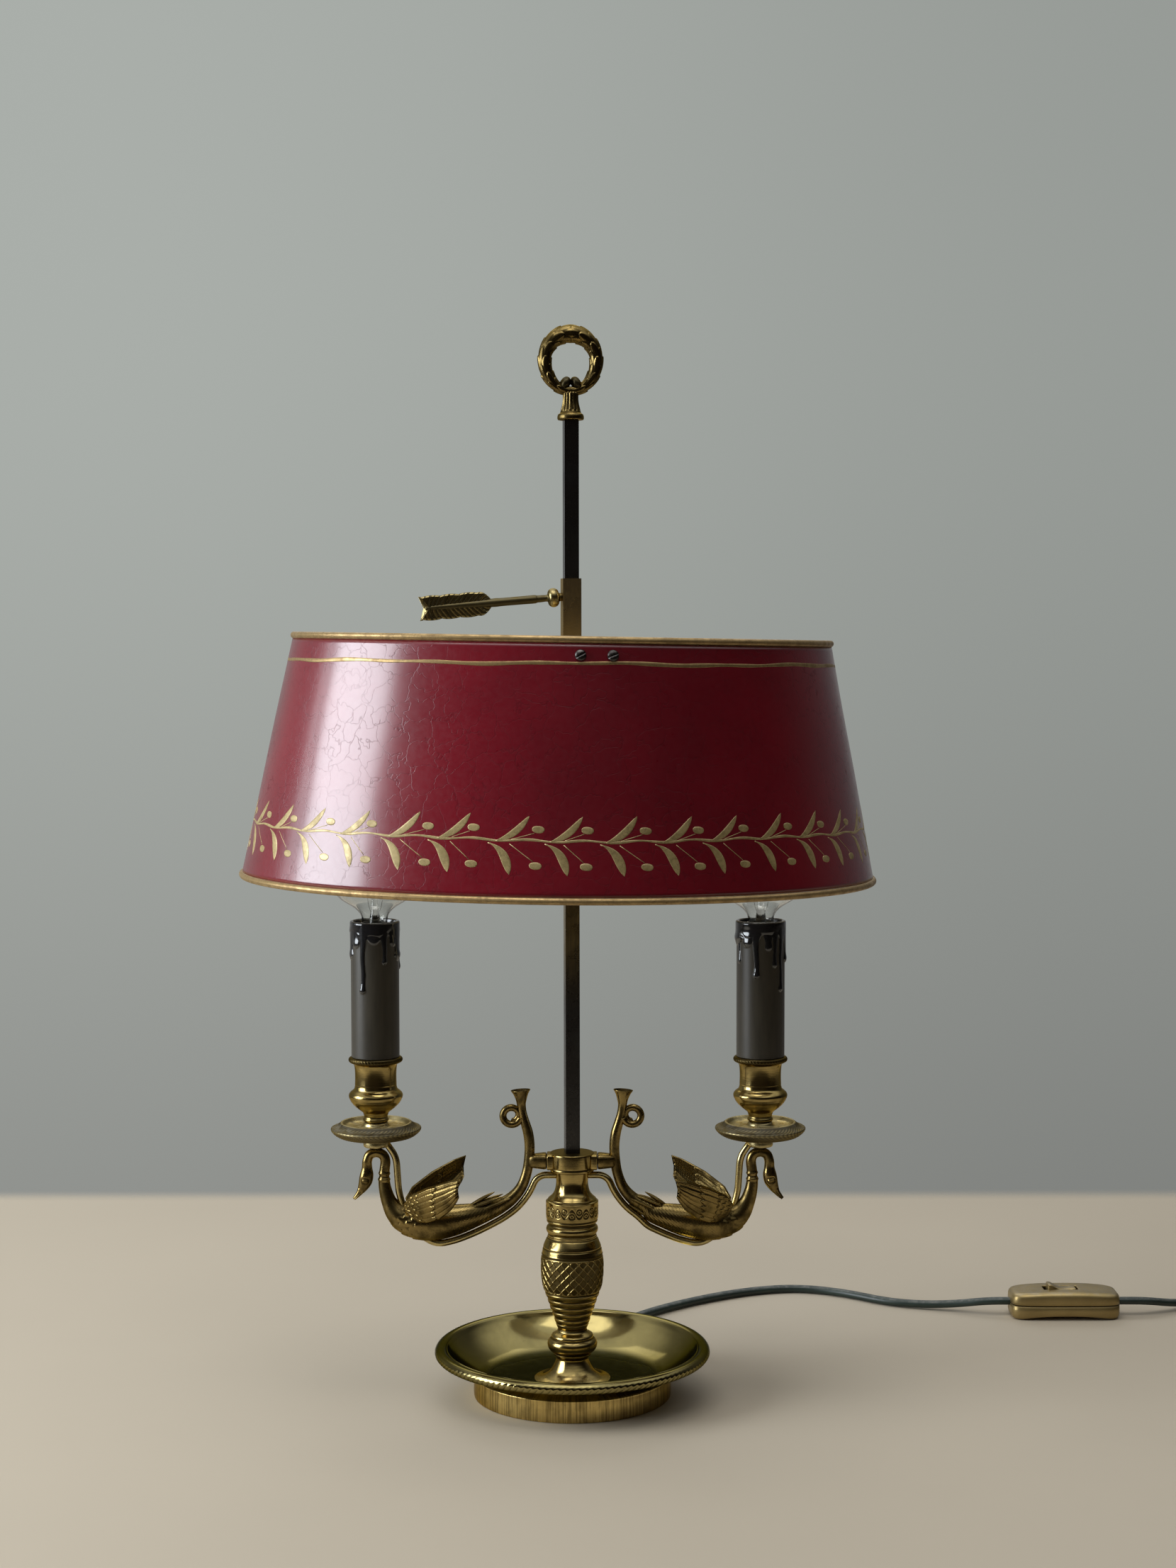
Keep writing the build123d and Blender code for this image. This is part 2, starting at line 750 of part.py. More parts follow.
    cap_top_z = sleeve_top_z - cap_recess
    cap_foot_z = cap_top_z - cap_length
    holder_radius = sleeve_radius - sleeve_wall - loose_gap
    neck_radius = cup_radius - cup_wall - loose_gap
    with BuildPart() as lampholder:
        with BuildSketch(axis):
            with BuildLine():
                Polyline(
                    (nipple_radius + seat_gap, cup_floor_z),
                    (neck_radius, cup_floor_z),
                    (neck_radius, cup_lip_z + 1.0),
                    (holder_radius, cup_lip_z + 3.0),
                    (holder_radius, cap_top_z - 1.0),
                    (cap_radius + loose_gap, cap_top_z - 1.0),
                    (cap_radius + loose_gap, cap_foot_z - 1.0),
                    (nipple_radius + seat_gap, cap_foot_z - 1.0),
                    close=True,
                )
            make_face()
        revolve(axis=spin)
    finish(lampholder.part, f"lampholder_{name}")

    glass_neck = cap_radius - 0.5
    with BuildPart() as bulb_cap:
        with BuildSketch(axis):
            with BuildLine():
                Polyline(
                    (0, cap_foot_z),
                    (2.4, cap_foot_z),
                    (3.0, cap_foot_z + 2.0),
                    (cap_radius - 0.6, cap_foot_z + 4.5),
                    (cap_radius, cap_foot_z + 6.0),
                    (cap_radius, cap_top_z),
                    (glass_neck + seat_gap, cap_top_z),
                    (glass_neck + seat_gap, cap_foot_z + 7.0),
                    (0, cap_foot_z + 5.0),
                    close=True,
                )
            make_face()
        revolve(axis=spin)
    finish(bulb_cap.part, f"bulb_cap_{name}")

    globe_top = cap_top_z + lamp_length
    globe_z = globe_top - globe_radius
    glass_foot = cap_top_z - glass_seat
    shoulder = radians(globe_shoulder)
    with BuildPart() as bulb_glass:
        for inset, mode in ((0.0, Mode.ADD), (globe_wall, Mode.SUBTRACT)):
            radius = globe_radius - inset
            with BuildSketch(axis):
                with BuildLine():
                    l1 = Line((0, glass_foot - inset), (glass_neck - inset, glass_foot - inset))
                    l2 = Line(l1 @ 1, (glass_neck - inset, cap_top_z))
                    l3 = Spline(
                        l2 @ 1,
                        (radius * cos(shoulder), globe_z - radius * sin(shoulder)),
                        tangents=[(0, 1), (sin(shoulder), cos(shoulder))],
                    )
                    l4 = CenterArc((0, globe_z), radius, -globe_shoulder, 90 + globe_shoulder)
                    Line(l4 @ 1, l1 @ 0)
                make_face()
            revolve(axis=spin, mode=mode)
    finish(bulb_glass.part, f"bulb_glass_{name}")

with BuildPart() as cup_nipples:
    for candle_x in (-left_reach, right_reach):
        with BuildSketch(Plane(origin=(candle_x, 0, neck_top_z + 1.5))):
            Circle(nipple_radius)
            Circle(nipple_bore, mode=Mode.SUBTRACT)
        extrude(amount=cap_foot_z - 6.0 - neck_top_z)
finish(cup_nipples.part, "cup_nipples")

# glass mount, two lead wires and a filament loop in each lamp
mount_radius = glass_neck - globe_wall
mount_height = 20.0
loop_radius = 5.2
loop_height = 31.9            # above the foot of the glass
lead_spread = 1.2
with BuildPart() as filaments:
    for candle_x in (-left_reach, right_reach):
        with Locations((candle_x, 0, glass_foot + mount_height / 2)):
            Cone(mount_radius, 1.8, mount_height)
        for beside in (-1, 1):
            lead_foot = Vector(candle_x + beside * lead_spread, 0, glass_foot + mount_height - 0.5)
            lead_top = Vector(candle_x + beside * loop_radius, 0, glass_foot + loop_height)
            with BuildSketch(Plane(origin=lead_foot, z_dir=lead_top - lead_foot)):
                Circle(0.3)
            extrude(amount=(lead_top - lead_foot).length)
        with Locations((candle_x, 0, glass_foot + loop_height)):
            Torus(loop_radius, 0.35)
finish(filaments.part, "filaments")

# ================================================================ shade carriage
slider_inner = rod_side + 2 * slide_gap
level = turned(rod_turn, slider_z - arrow_drop)
arrow_dir = level.x_dir * -cos(radians(arrow_droop)) + Vector(0, 0, -sin(radians(arrow_droop)))
arrow_plane = Plane(origin=level.origin, x_dir=level.y_dir, z_dir=arrow_dir)
with BuildPart() as slide_collar:
    with BuildSketch(turned(rod_turn, slider_z - slider_length)):
        Rectangle(slider_side, slider_side)
        Rectangle(slider_inner, slider_inner, mode=Mode.SUBTRACT)
    extrude(amount=slider_length)
    with BuildSketch(arrow_plane):
        Circle(arrow_thread_radius + slide_gap)
    extrude(amount=slider_side, mode=Mode.SUBTRACT)
finish(slide_collar.part, "slide_collar")

# the shade's own frame: centred on its lower bead, turned with the rod and a little off level
lean = radians(shade_lean)
turn = radians(rod_turn)
up_dir = Vector(cos(turn) * sin(lean), sin(turn) * sin(lean), cos(lean))
bridge_height = shade_height - bridge_drop - bridge_thickness / 2
shade_long = Vector(cos(turn), sin(turn), 0)
bridge_centre = shade_long * -shade_offset + Vector(0, 0, shade_foot_z + bridge_height)
shade_foot = Plane(
    origin=bridge_centre - up_dir * bridge_height,
    x_dir=shade_long * cos(lean) - Vector(0, 0, sin(lean)),
    z_dir=up_dir,
)
long_slope = (shade_bottom_half - shade_top_half) / shade_height
short_slope = (shade_bottom_depth - shade_top_depth) / shade_height


def half_long(height):
    return shade_bottom_half - long_slope * height


def half_short(height):
    return shade_bottom_depth - short_slope * height


def cone_between(low, high, inset):
    """Solid between two heights of the shade, inset from the middle of its wall."""
    with BuildPart(mode=Mode.PRIVATE) as cone:
        for height in (low, high):
            with BuildSketch(shade_foot.offset(height)):
                Ellipse(half_long(height) - inset, half_short(height) - inset)
        loft(ruled=True)
    return cone.part


# two screws at each end of the bridge: head outside the wall, nut behind the tab
screw_height = shade_height - screw_drop
wall_tilt = atan(short_slope)
half_wall = shade_wall / 2
head_edge = shade_screw_spacing / 2 - screw_head_radius
dip = half_short(screw_height) * (1 - sqrt(1 - (head_edge / half_long(screw_height)) ** 2))
screw_planes = []
for beside in (-1, 1):
    outward = shade_foot.y_dir * (beside * cos(wall_tilt)) + shade_foot.z_dir * sin(wall_tilt)
    for along in (-0.5, 0.5):
        seat = shade_foot.from_local_coords(
            Vector(
                along * shade_screw_spacing,
                beside * (half_short(screw_height) - dip + half_wall / cos(wall_tilt)),
                screw_height,
            )
        )
        screw_planes.append(Plane(origin=seat, x_dir=shade_foot.x_dir, z_dir=outward))

nut_seat = shade_wall + tab_skin
screw_reach = nut_seat + shade_nut_height + 0.6
with BuildPart() as shade_screws:
    for plane in screw_planes:
        with BuildSketch(plane):
            Circle(screw_head_radius)
        extrude(amount=screw_head_height)
        with BuildSketch(plane):
            Circle(shade_screw_radius)
        extrude(amount=-screw_reach)
finish(shade_screws.part, "shade_screws")

with BuildPart() as shade_nuts:
    for plane in screw_planes:
        with BuildSketch(plane.offset(-nut_seat)):
            RegularPolygon(shade_nut_across / 2, 6, major_radius=False)
            Circle(shade_screw_radius, mode=Mode.SUBTRACT)
        extrude(amount=-shade_nut_height)
finish(shade_nuts.part, "shade_nuts")

# the shell stands between its two beads
with BuildPart() as shade_shell:
    add(cone_between(bead_radius, shade_height - bead_radius, -half_wall))
    add(cone_between(bead_radius, shade_height - bead_radius, half_wall), mode=Mode.SUBTRACT)
    for plane in screw_planes:
        with BuildSketch(plane.offset(-nut_seat)):
            Circle(shade_screw_radius + seat_gap)
        extrude(amount=2 * nut_seat, mode=Mode.SUBTRACT)
finish(shade_shell.part, "shade_shell")

for name, height in (("shade_bottom_rim", 0.0), ("shade_top_rim", shade_height)):
    with BuildPart() as bead:
        with BuildLine(shade_foot.offset(height)):
            oval = EllipticalCenterArc((0, 0), half_long(height), half_short(height), 0, arc_size=360)
        with BuildSketch(Plane(origin=oval @ 0, z_dir=oval % 0)):
            Circle(bead_radius)
        sweep()
    finish(bead.part, name)

# bridge strip across the short axis, its ends bent down behind the wall
tab_foot = bridge_height + bridge_thickness / 2 - tab_height
strip_top = bridge_height + bridge_thickness / 2
strip_foot = bridge_height - bridge_thickness / 2
inner_tab = half_wall + dip + tab_skin
with BuildPart() as shade_bridge:
    with BuildSketch(Plane(origin=shade_foot.origin, x_dir=shade_foot.y_dir, z_dir=shade_foot.x_dir)):
        with BuildLine():
            Polyline(
                (half_short(strip_top), strip_top),
                (half_short(tab_foot), tab_foot),
                (half_short(tab_foot) - inner_tab, tab_foot),
                (half_short(strip_foot) - inner_tab, strip_foot),
                (inner_tab - half_short(strip_foot), strip_foot),
                (inner_tab - half_short(tab_foot), tab_foot),
                (-half_short(tab_foot), tab_foot),
                (-half_short(strip_top), strip_top),
                close=True,
            )
        make_face()
    extrude(amount=bridge_width / 2, both=True)
    add(cone_between(0, shade_height, half_wall), mode=Mode.INTERSECT)
    with BuildSketch(turned(rod_turn, bridge_centre.Z - tab_height)):
        Rectangle(slider_side + 2 * seat_gap, slider_side + 2 * seat_gap)
    extrude(amount=2 * tab_height, mode=Mode.SUBTRACT)
    for plane in screw_planes:
        with BuildSketch(plane.offset(-nut_seat)):
            Circle(shade_screw_radius + seat_gap)
        extrude(amount=2 * nut_seat, mode=Mode.SUBTRACT)
finish(shade_bridge.part, "shade_bridge")

# arrow clamp screw: thread, knob, shaft and fletching in one casting
shaft_step = 17.2
thread_start = rod_side / 2 + loose_gap
arrow_side = Plane(origin=level.origin, x_dir=arrow_dir, z_dir=level.y_dir)
with BuildPart() as arrow_key:
    with BuildSketch(arrow_plane.offset(thread_start)):
        Circle(arrow_thread_radius)
    extrude(amount=knob_distance - thread_start)
    with BuildSketch(arrow_side):
        with Locations((knob_distance, 0)):
            Ellipse(knob_half_width, knob_radius)
        Rectangle(4 * knob_distance, 2 * knob_radius, align=(Align.CENTER, Align.MAX), mode=Mode.SUBTRACT)
    revolve(axis=Axis(level.origin, arrow_dir))
    with BuildSketch(arrow_plane.offset(knob_distance)):
        Circle(shaft_radius - 0.3)
    extrude(amount=shaft_step - knob_distance)
    with BuildSketch(arrow_plane.offset(shaft_step)):
        Circle(shaft_radius)
    extrude(amount=feather_start + feather_length * 0.9 - shaft_step)
    with BuildSketch(arrow_side):
        with BuildLine():
            Polyline(
                (feather_start, 0),
                (feather_start + 6.2, feather_half_height - 0.9),
                (feather_start + feather_length - 1.2, feather_half_height),
                (feather_start + feather_length, feather_half_height - 0.6),
                (feather_start + feather_length - 4.9, 2.2),
                (feather_start + feather_length - 3.1, 0),
                (feather_start + feather_length - 4.9, -2.2),
                (feather_start + feather_length, 0.6 - feather_half_height),
                (feather_start + feather_length - 1.2, -feather_half_height),
                (feather_start + 6.2, 0.9 - feather_half_height),
                close=True,
            )
        make_face()
    extrude(amount=feather_thickness / 2, both=True)
finish(arrow_key.part, "arrow_key")

# ================================================================ cord, switch and plug
flange_plane = bush_plane.offset(-foot_wall - 0.2)
cord_radius = cord_diameter / 2
with BuildPart() as cord_bush:
    with BuildSketch(flange_plane):
        Circle(bush_neck_radius + 0.6)
    extrude(amount=-1.2)
    with BuildSketch(flange_plane):
        Circle(bush_neck_radius)
    extrude(amount=foot_wall + 0.2)
    with BuildSketch(bush_plane):
        Circle(bush_neck_radius + 0.8)
    with BuildSketch(bush_plane.offset(bush_length)):
        Circle(cord_radius + 0.5)
    loft()
finish(cord_bush.part, "cord_bush")

switch_x, switch_y = switch_place
switch_axis_z = 8.0           # height at which the cord enters the switch
inlet_depth = 2.0
coil_x, coil_y = coil_place
floor_line = cord_radius + 0.05
bush_tip = bush_plane.origin + exit_dir * bush_length
cord_route = [
    bush_tip,
    Vector(13.6, 92.0, 4.4),
    Vector(23.0, 114.0, floor_line),
    Vector(42.0, 139.5, floor_line),
    Vector(69.0, 164.0, floor_line),
    Vector(100.0, 183.5, floor_line),
    Vector(128.0, 190.0, floor_line),
    Vector(154.0, 179.0, floor_line),
    Vector(176.0, 159.5, floor_line),
    Vector(196.0, 152.6, floor_line + 0.2),
    Vector(213.0, 148.0, 4.3),
    Vector(229.0, switch_y, switch_axis_z),
    Vector(switch_x - switch_length / 2 + inlet_depth, switch_y, switch_axis_z),
]
tail_route = [
    Vector(switch_x + switch_length / 2 - inlet_depth, switch_y, switch_axis_z),
    Vector(317.0, switch_y, switch_axis_z),
    Vector(333.0, 148.0, 4.6),
    Vector(347.0, 157.0, floor_line),
    Vector(coil_x - 23.0, coil_y + 22.5, floor_line),
]
for name, route in (("cord_lamp", cord_route), ("cord_tail", tail_route)):
    run, length, radii = tube(route, cord_radius)
    finish(run, name)
    print(name, "arc radii", [round(radius, 1) for radius in radii])
    print(name, "volume", round(run.volume, 1), "section x length", round(pi * cord_radius**2 * length, 1))

# the rest of the cord, wound up and tied: a ring, and the end that goes on to the plug
plug_gap = 24.0               # coil centre to the back of the plug, along the plug's axis
plug_z = plug_thickness / 2
outer_turn = coil_mid_radius + cord_diameter
coil_spin = Axis((coil_x, coil_y, 0), (0, 0, 1))
with BuildPart() as cord_coil:
    with BuildSketch(Plane(origin=(coil_x, coil_y, 0), x_dir=(1, 0, 0), z_dir=(0, -1, 0))):
        with Locations((coil_mid_radius, coil_height / 2)):
            RectangleRounded(coil_width, coil_height, cord_radius)
    revolve(axis=coil_spin)
    with BuildSketch(Plane(origin=(coil_x + outer_turn, coil_y, plug_z), z_dir=(0, -1, 0))):
        Circle(cord_radius)
    extrude(amount=plug_gap)
finish(cord_coil.part, "cord_coil")

plug_x = coil_x + outer_turn
plug_y = coil_y - plug_gap
plug_face = Plane(origin=(plug_x, plug_y - plug_length, plug_z), x_dir=(1, 0, 0), z_dir=(0, -1, 0))
with BuildPart() as plug_body:
    with BuildSketch(Plane.XY.offset(plug_z)):
        with BuildLine():
            Polyline(
                (plug_x - 4.0, plug_y),
                (plug_x + 4.0, plug_y),
                (plug_x + 5.0, plug_y - 10.0),
                (plug_x + plug_width / 2, plug_y - 18.0),
                (plug_x + plug_width / 2, plug_y - plug_length),
                (plug_x - plug_width / 2, plug_y - plug_length),
                (plug_x - plug_width / 2, plug_y - 18.0),
                (plug_x - 5.0, plug_y - 10.0),
                close=True,
            )
        make_face()
    extrude(amount=plug_thickness / 2, both=True)
    chamfer(plug_body.edges().group_by(Axis.Z)[0] + plug_body.edges().group_by(Axis.Z)[-1], length=2.4)
    with BuildSketch(plug_face):
        with GridLocations(pin_spacing, 0, 2, 1):
            Circle(pin_root_radius)
    extrude(amount=-pin_seat, mode=Mode.SUBTRACT)
finish(plug_body.part, "plug_body")

with BuildPart() as plug_pins:
    with BuildSketch(plug_face):
        with GridLocations(pin_spacing, 0, 2, 1):
            Circle(pin_root_radius)
    extrude(amount=-pin_seat)
    with BuildSketch(plug_face):
        with GridLocations(pin_spacing, 0, 2, 1):
            Circle(pin_radius)
    extrude(amount=pin_length)
finish(plug_pins.part, "plug_pins")

# in-line switch: two shells, the rocker on its pin, two screws from below
switch_floor = Plane(origin=(switch_x, switch_y, 0))
corner = 6.0
rocker_x = switch_x - 2.0
pivot_z = 11.0
pivot_radius = 1.0
rocker_top = 6.3              # pivot to the rocker's upper face
rocker_foot = 3.0
opening_length = rocker_length + 3.0
opening_width = rocker_width + 2 * loose_gap
boss_radius = 3.4
screw_radius = 1.5
screw_inset = 8.0             # screws from the switch's ends
inner_length = switch_length - 2 * switch_wall
inner_width = switch_width - 2 * switch_wall
inlet_plane = Plane(origin=(switch_x - switch_length, switch_y, switch_axis_z), z_dir=(1, 0, 0))
with BuildPart() as switch_base:
    with BuildSketch(switch_floor):
        RectangleRounded(switch_length, switch_width, corner)
    extrude(amount=switch_seam)
    with BuildSketch(switch_floor.offset(switch_wall)):
        RectangleRounded(inner_length, inner_width, corner - switch_wall)
    extrude(amount=switch_seam, mode=Mode.SUBTRACT)
    with BuildSketch(switch_floor):
        with GridLocations(switch_length - 2 * screw_inset, 0, 2, 1):
            Circle(boss_radius)
    extrude(amount=switch_seam)
    with BuildSketch(switch_floor):
        with GridLocations(switch_length - 2 * screw_inset, 0, 2, 1):
            Circle(screw_radius + seat_gap)
    extrude(amount=switch_seam, mode=Mode.SUBTRACT)
    with BuildSketch(inlet_plane):
        Circle(cord_radius + seat_gap)
    extrude(amount=2 * switch_length, mode=Mode.SUBTRACT)
finish(switch_base.part, "switch_base")

with BuildPart() as switch_top:
    with BuildSketch(switch_floor.offset(switch_seam)):
        RectangleRounded(switch_length, switch_width, corner)
    extrude(amount=switch_height - switch_seam)
    fillet(switch_top.faces().sort_by(Axis.Z)[-1].edges(), radius=2.5)
    with BuildSketch(switch_floor.offset(switch_seam)):
        RectangleRounded(inner_length, inner_width, corner - switch_wall)
    extrude(amount=switch_height - switch_wall - switch_seam, mode=Mode.SUBTRACT)
    with BuildSketch(switch_floor.offset(switch_seam)):
        with GridLocations(switch_length - 2 * screw_inset, 0, 2, 1):
            Circle(boss_radius)
            Circle(screw_radius + seat_gap, mode=Mode.SUBTRACT)
    extrude(amount=switch_height - switch_wall - switch_seam)
    with BuildSketch(Plane(origin=(rocker_x, switch_y, switch_seam))):
        Rectangle(opening_length, opening_width)
    extrude(amount=switch_height, mode=Mode.SUBTRACT)
    with BuildSketch(Plane(origin=(rocker_x, switch_y, pivot_z), x_dir=(1, 0, 0), z_dir=(0, -1, 0))):
        Circle(pivot_radius + 2.0)
        Circle(pivot_radius, mode=Mode.SUBTRACT)
    extrude(amount=inner_width / 2, both=True)
    with BuildSketch(Plane(origin=(rocker_x, switch_y, switch_seam))):
        Rectangle(opening_length, opening_width)
    extrude(amount=switch_height, mode=Mode.SUBTRACT)
    with BuildSketch(inlet_plane):
        Circle(cord_radius + seat_gap)
    extrude(amount=2 * switch_length, mode=Mode.SUBTRACT)
finish(switch_top.part, "switch_top")

with BuildPart() as switch_screws:
    with BuildSketch(switch_floor.offset(0.4)):
        with GridLocations(switch_length - 2 * screw_inset, 0, 2, 1):
            Circle(screw_radius)
    extrude(amount=switch_height - switch_wall - 1.0)
finish(switch_screws.part, "switch_screws")

rocker_tip = Plane(
    origin=(rocker_x, switch_y, pivot_z),
    x_dir=(cos(radians(rocker_tilt)), 0, -sin(radians(rocker_tilt))),
    z_dir=(0, -1, 0),
)
with BuildPart() as switch_rocker:
    with BuildSketch(rocker_tip):
        with BuildLine():
            Polyline(
                (-rocker_length / 2, rocker_top),
                (-rocker_length / 2 + 0.6, -0.4),
                (-3.0, -rocker_foot),
                (3.0, -rocker_foot),
                (rocker_length / 2 - 0.6, -0.4),
                (rocker_length / 2, rocker_top),
                (0, rocker_top - 1.6),
                close=True,
            )
        make_face()
        Circle(pivot_radius + slide_gap, mode=Mode.SUBTRACT)
    extrude(amount=rocker_width / 2, both=True)
finish(switch_rocker.part, "switch_rocker")

with BuildPart() as switch_pin:
    with BuildSketch(Plane(origin=(rocker_x, switch_y, pivot_z), x_dir=(1, 0, 0), z_dir=(0, -1, 0))):
        Circle(pivot_radius)
    extrude(amount=inner_width / 2, both=True)
finish(switch_pin.part, "switch_pin")
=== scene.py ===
import json
import bpy
import bmesh
import numpy as np
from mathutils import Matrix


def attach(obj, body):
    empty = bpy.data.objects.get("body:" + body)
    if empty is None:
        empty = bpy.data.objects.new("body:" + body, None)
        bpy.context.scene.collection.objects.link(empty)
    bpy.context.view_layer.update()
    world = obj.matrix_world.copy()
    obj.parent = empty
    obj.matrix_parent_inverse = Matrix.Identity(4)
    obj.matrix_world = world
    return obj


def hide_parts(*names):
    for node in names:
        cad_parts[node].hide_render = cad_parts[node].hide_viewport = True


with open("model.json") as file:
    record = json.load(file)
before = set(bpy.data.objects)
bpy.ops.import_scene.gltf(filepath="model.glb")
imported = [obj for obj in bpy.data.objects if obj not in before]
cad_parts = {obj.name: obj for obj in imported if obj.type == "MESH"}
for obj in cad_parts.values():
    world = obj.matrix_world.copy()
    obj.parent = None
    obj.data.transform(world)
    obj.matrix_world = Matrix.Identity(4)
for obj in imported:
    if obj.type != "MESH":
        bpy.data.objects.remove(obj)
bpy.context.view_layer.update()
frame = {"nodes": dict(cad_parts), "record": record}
nodes = frame["nodes"]
mm = 0.001
tau = 2 * np.pi
upright = np.array([0.0, 0.0, 1.0])
rodTurn = 8.5          # degrees: the rod and all that sits on it stand turned by this
lugHeight = 117.0      # mm: where the arms meet the hub

# camera
cameraSetup = {
    "place": (0.0083, -1.21617, 0.37727),
    "pitch": 86.553,      # degrees from straight down
    "roll": 0.084,
    "lens": 75.95,
}
cameraData = bpy.data.cameras.new("lookAtLamp")
cameraData.lens = cameraSetup["lens"]
cameraData.sensor_width = 36.0
cameraData.sensor_fit = "HORIZONTAL"
cameraData.clip_start = 0.05
cameraData.clip_end = 30.0
cameraObject = bpy.data.objects.new("lookAtLamp", cameraData)
bpy.context.scene.collection.objects.link(cameraObject)
cameraObject.location = cameraSetup["place"]
cameraObject.rotation_euler = (np.radians(cameraSetup["pitch"]), np.radians(cameraSetup["roll"]), 0.0)
bpy.context.scene.camera = cameraObject
bpy.context.scene.view_settings.view_transform = "Standard"


# mesh and curve helpers
def soften(points, rounds=2):
    # corner cutting: each run keeps its middle half, so corners turn into short curves; the ends stay
    points = np.asarray(points, float)
    for _ in range(rounds):
        first = 0.75 * points[:-1] + 0.25 * points[1:]
        second = 0.25 * points[:-1] + 0.75 * points[1:]
        middle = np.stack((first, second), 1).reshape(-1, points.shape[1])
        points = np.concatenate((points[:1], middle, points[-1:]))
    return points


def smoothRows(rows, count):
    # a Catmull-Rom curve through the rows, evenly sampled by distance, every column carried along
    rows = np.asarray(rows, float)
    padded = np.concatenate((2 * rows[:1] - rows[1:2], rows, 2 * rows[-1:] - rows[-2:-1]))
    fine = np.linspace(0, len(rows) - 1, 40 * len(rows))
    index = np.minimum(fine.astype(int), len(rows) - 2)
    t = (fine - index)[:, None]
    a, b, c, d = (padded[index + k] for k in range(4))
    curve = 0.5 * (2 * b + (c - a) * t + (2 * a - 5 * b + 4 * c - d) * t**2 + (3 * b - a - 3 * c + d) * t**3)
    steps = np.r_[0, np.cumsum(np.linalg.norm(np.diff(curve[:, :2], axis=0), axis=1))]
    even = np.linspace(0, steps[-1], count)
    return np.stack([np.interp(even, steps, column) for column in curve.T], 1)


def evenly(points, count):
    # the same polyline with points at equal distances
    points = np.asarray(points, float)
    steps = np.r_[0, np.cumsum(np.linalg.norm(np.diff(points, axis=0), axis=1))]
    return np.stack([np.interp(np.linspace(0, steps[-1], count), steps, column) for column in points.T], 1)


def unit(vectors):
    # each vector over its own length
    return vectors / np.maximum(np.linalg.norm(vectors, axis=-1, keepdims=True), 1e-12)


def clamp(values):
    # values held between 0 and 1
    return np.clip(values, 0, 1)


def circle(columns):
    # the angles of evenly spaced columns round a full turn
    return np.arange(columns) * tau / columns


def rays(angle):
    # level unit vectors in these directions
    return np.stack((np.cos(angle), np.sin(angle), 0 * angle), -1)


def pushed(grid, amount, angle):
    # a turned grid moved outwards by an amount at each point
    return grid + amount[..., None] * rays(angle)


def squared(wave, power):
    # a sine or cosine bent towards a square: |wave| ^ power with its sign
    return np.sign(wave) * np.abs(wave) ** power


def gridFaces(rows, columns, closedRows, start=0):
    # quads between neighbours of a grid; its last column joins the first, its last row only if told
    down = np.arange(rows if closedRows else rows - 1)
    i, j = np.meshgrid(down, np.arange(columns), indexing="ij")
    nextI, nextJ = (i + 1) % rows, (j + 1) % columns
    here, below = i * columns, nextI * columns
    corners = np.stack((here + j, here + nextJ, below + nextJ, below + j), -1)
    return corners.reshape(-1, 4) + start


def buildPiece(name, grids, material, hidden=(), toneAndPaintedShade=None, body="stand"):
    # one mesh out of grids: each is (rows x columns of points in mm, whether the last row joins the first)
    points, faces, start = [], [], 0
    for grid, closedRows in grids:
        rows, columns = grid.shape[:2]
        points.append(grid.reshape(-1, 3))
        faces.append(gridFaces(rows, columns, closedRows, start))
        start += rows * columns
    points, faces = np.concatenate(points) * mm, np.concatenate(faces)
    mesh = bpy.data.meshes.new(name)
    mesh.vertices.add(len(points))
    mesh.vertices.foreach_set("co", points.ravel().astype(np.float32))
    mesh.loops.add(faces.size)
    mesh.loops.foreach_set("vertex_index", faces.ravel().astype(np.int32))
    mesh.polygons.add(len(faces))
    mesh.polygons.foreach_set("loop_start", np.arange(0, faces.size, 4, dtype=np.int32))
    mesh.update(calc_edges=True)
    # per-point tone for the finishes: patina in hollows, marks such as wax and the shade's inner face, and
    # painted shade on the hub's top
    if toneAndPaintedShade is not None:
        layer = mesh.attributes.new("toneAndPaintedShade", "FLOAT", "POINT")
        layer.data.foreach_set("value", np.concatenate([c.ravel() for c in toneAndPaintedShade]).astype(np.float32))
    work = bmesh.new()
    work.from_mesh(mesh)
    bmesh.ops.remove_doubles(work, verts=work.verts, dist=1e-7)
    loose = [v for v in work.verts if not v.link_faces]
    bmesh.ops.delete(work, geom=loose, context="VERTS")
    bmesh.ops.recalc_face_normals(work, faces=work.faces)
    work.to_mesh(mesh)
    work.free()
    mesh.polygons.foreach_set("use_smooth", np.ones(len(mesh.polygons), bool))
    mesh.materials.append(material)
    piece = bpy.data.objects.new(name, mesh)
    bpy.context.scene.collection.objects.link(piece)
    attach(piece, body)
    if hidden:
        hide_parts(*hidden)
    return piece


def turnedGrid(profile, columns=160, centre=(0.0, 0.0)):
    # a profile of (radius, height) spun about an upright axis: x = radius cos, y = radius sin
    angle = circle(columns)
    radius, height = profile[:, 0, None], profile[:, 1, None]
    return np.stack(
        (centre[0] + radius * np.cos(angle), centre[1] + radius * np.sin(angle), height + 0 * angle), -1
    )


def tubeGrid(path, halfWidth, halfHeight, sideways, columns=32, power=2.0):
    # ellipses carried along a path: each lies across it, its width along a sideways direction;
    # a power above 2 makes them squarer: |x / a|^p + |y / b|^p = 1
    path = np.asarray(path, float)
    tangent = unit(np.gradient(path, axis=0))
    sideways = np.broadcast_to(np.asarray(sideways, float), path.shape)
    across = unit(sideways - (sideways * tangent).sum(1, keepdims=True) * tangent)
    upward = np.cross(tangent, across)
    angle = circle(columns)
    c, s = squared(np.cos(angle), 2 / power), squared(np.sin(angle), 2 / power)
    width = np.broadcast_to(halfWidth, len(path))[:, None, None]
    height = np.broadcast_to(halfHeight, len(path))[:, None, None]
    return path[:, None] + across[:, None] * (width * c[None, :, None]) + upward[:, None] * (
        height * s[None, :, None]
    )


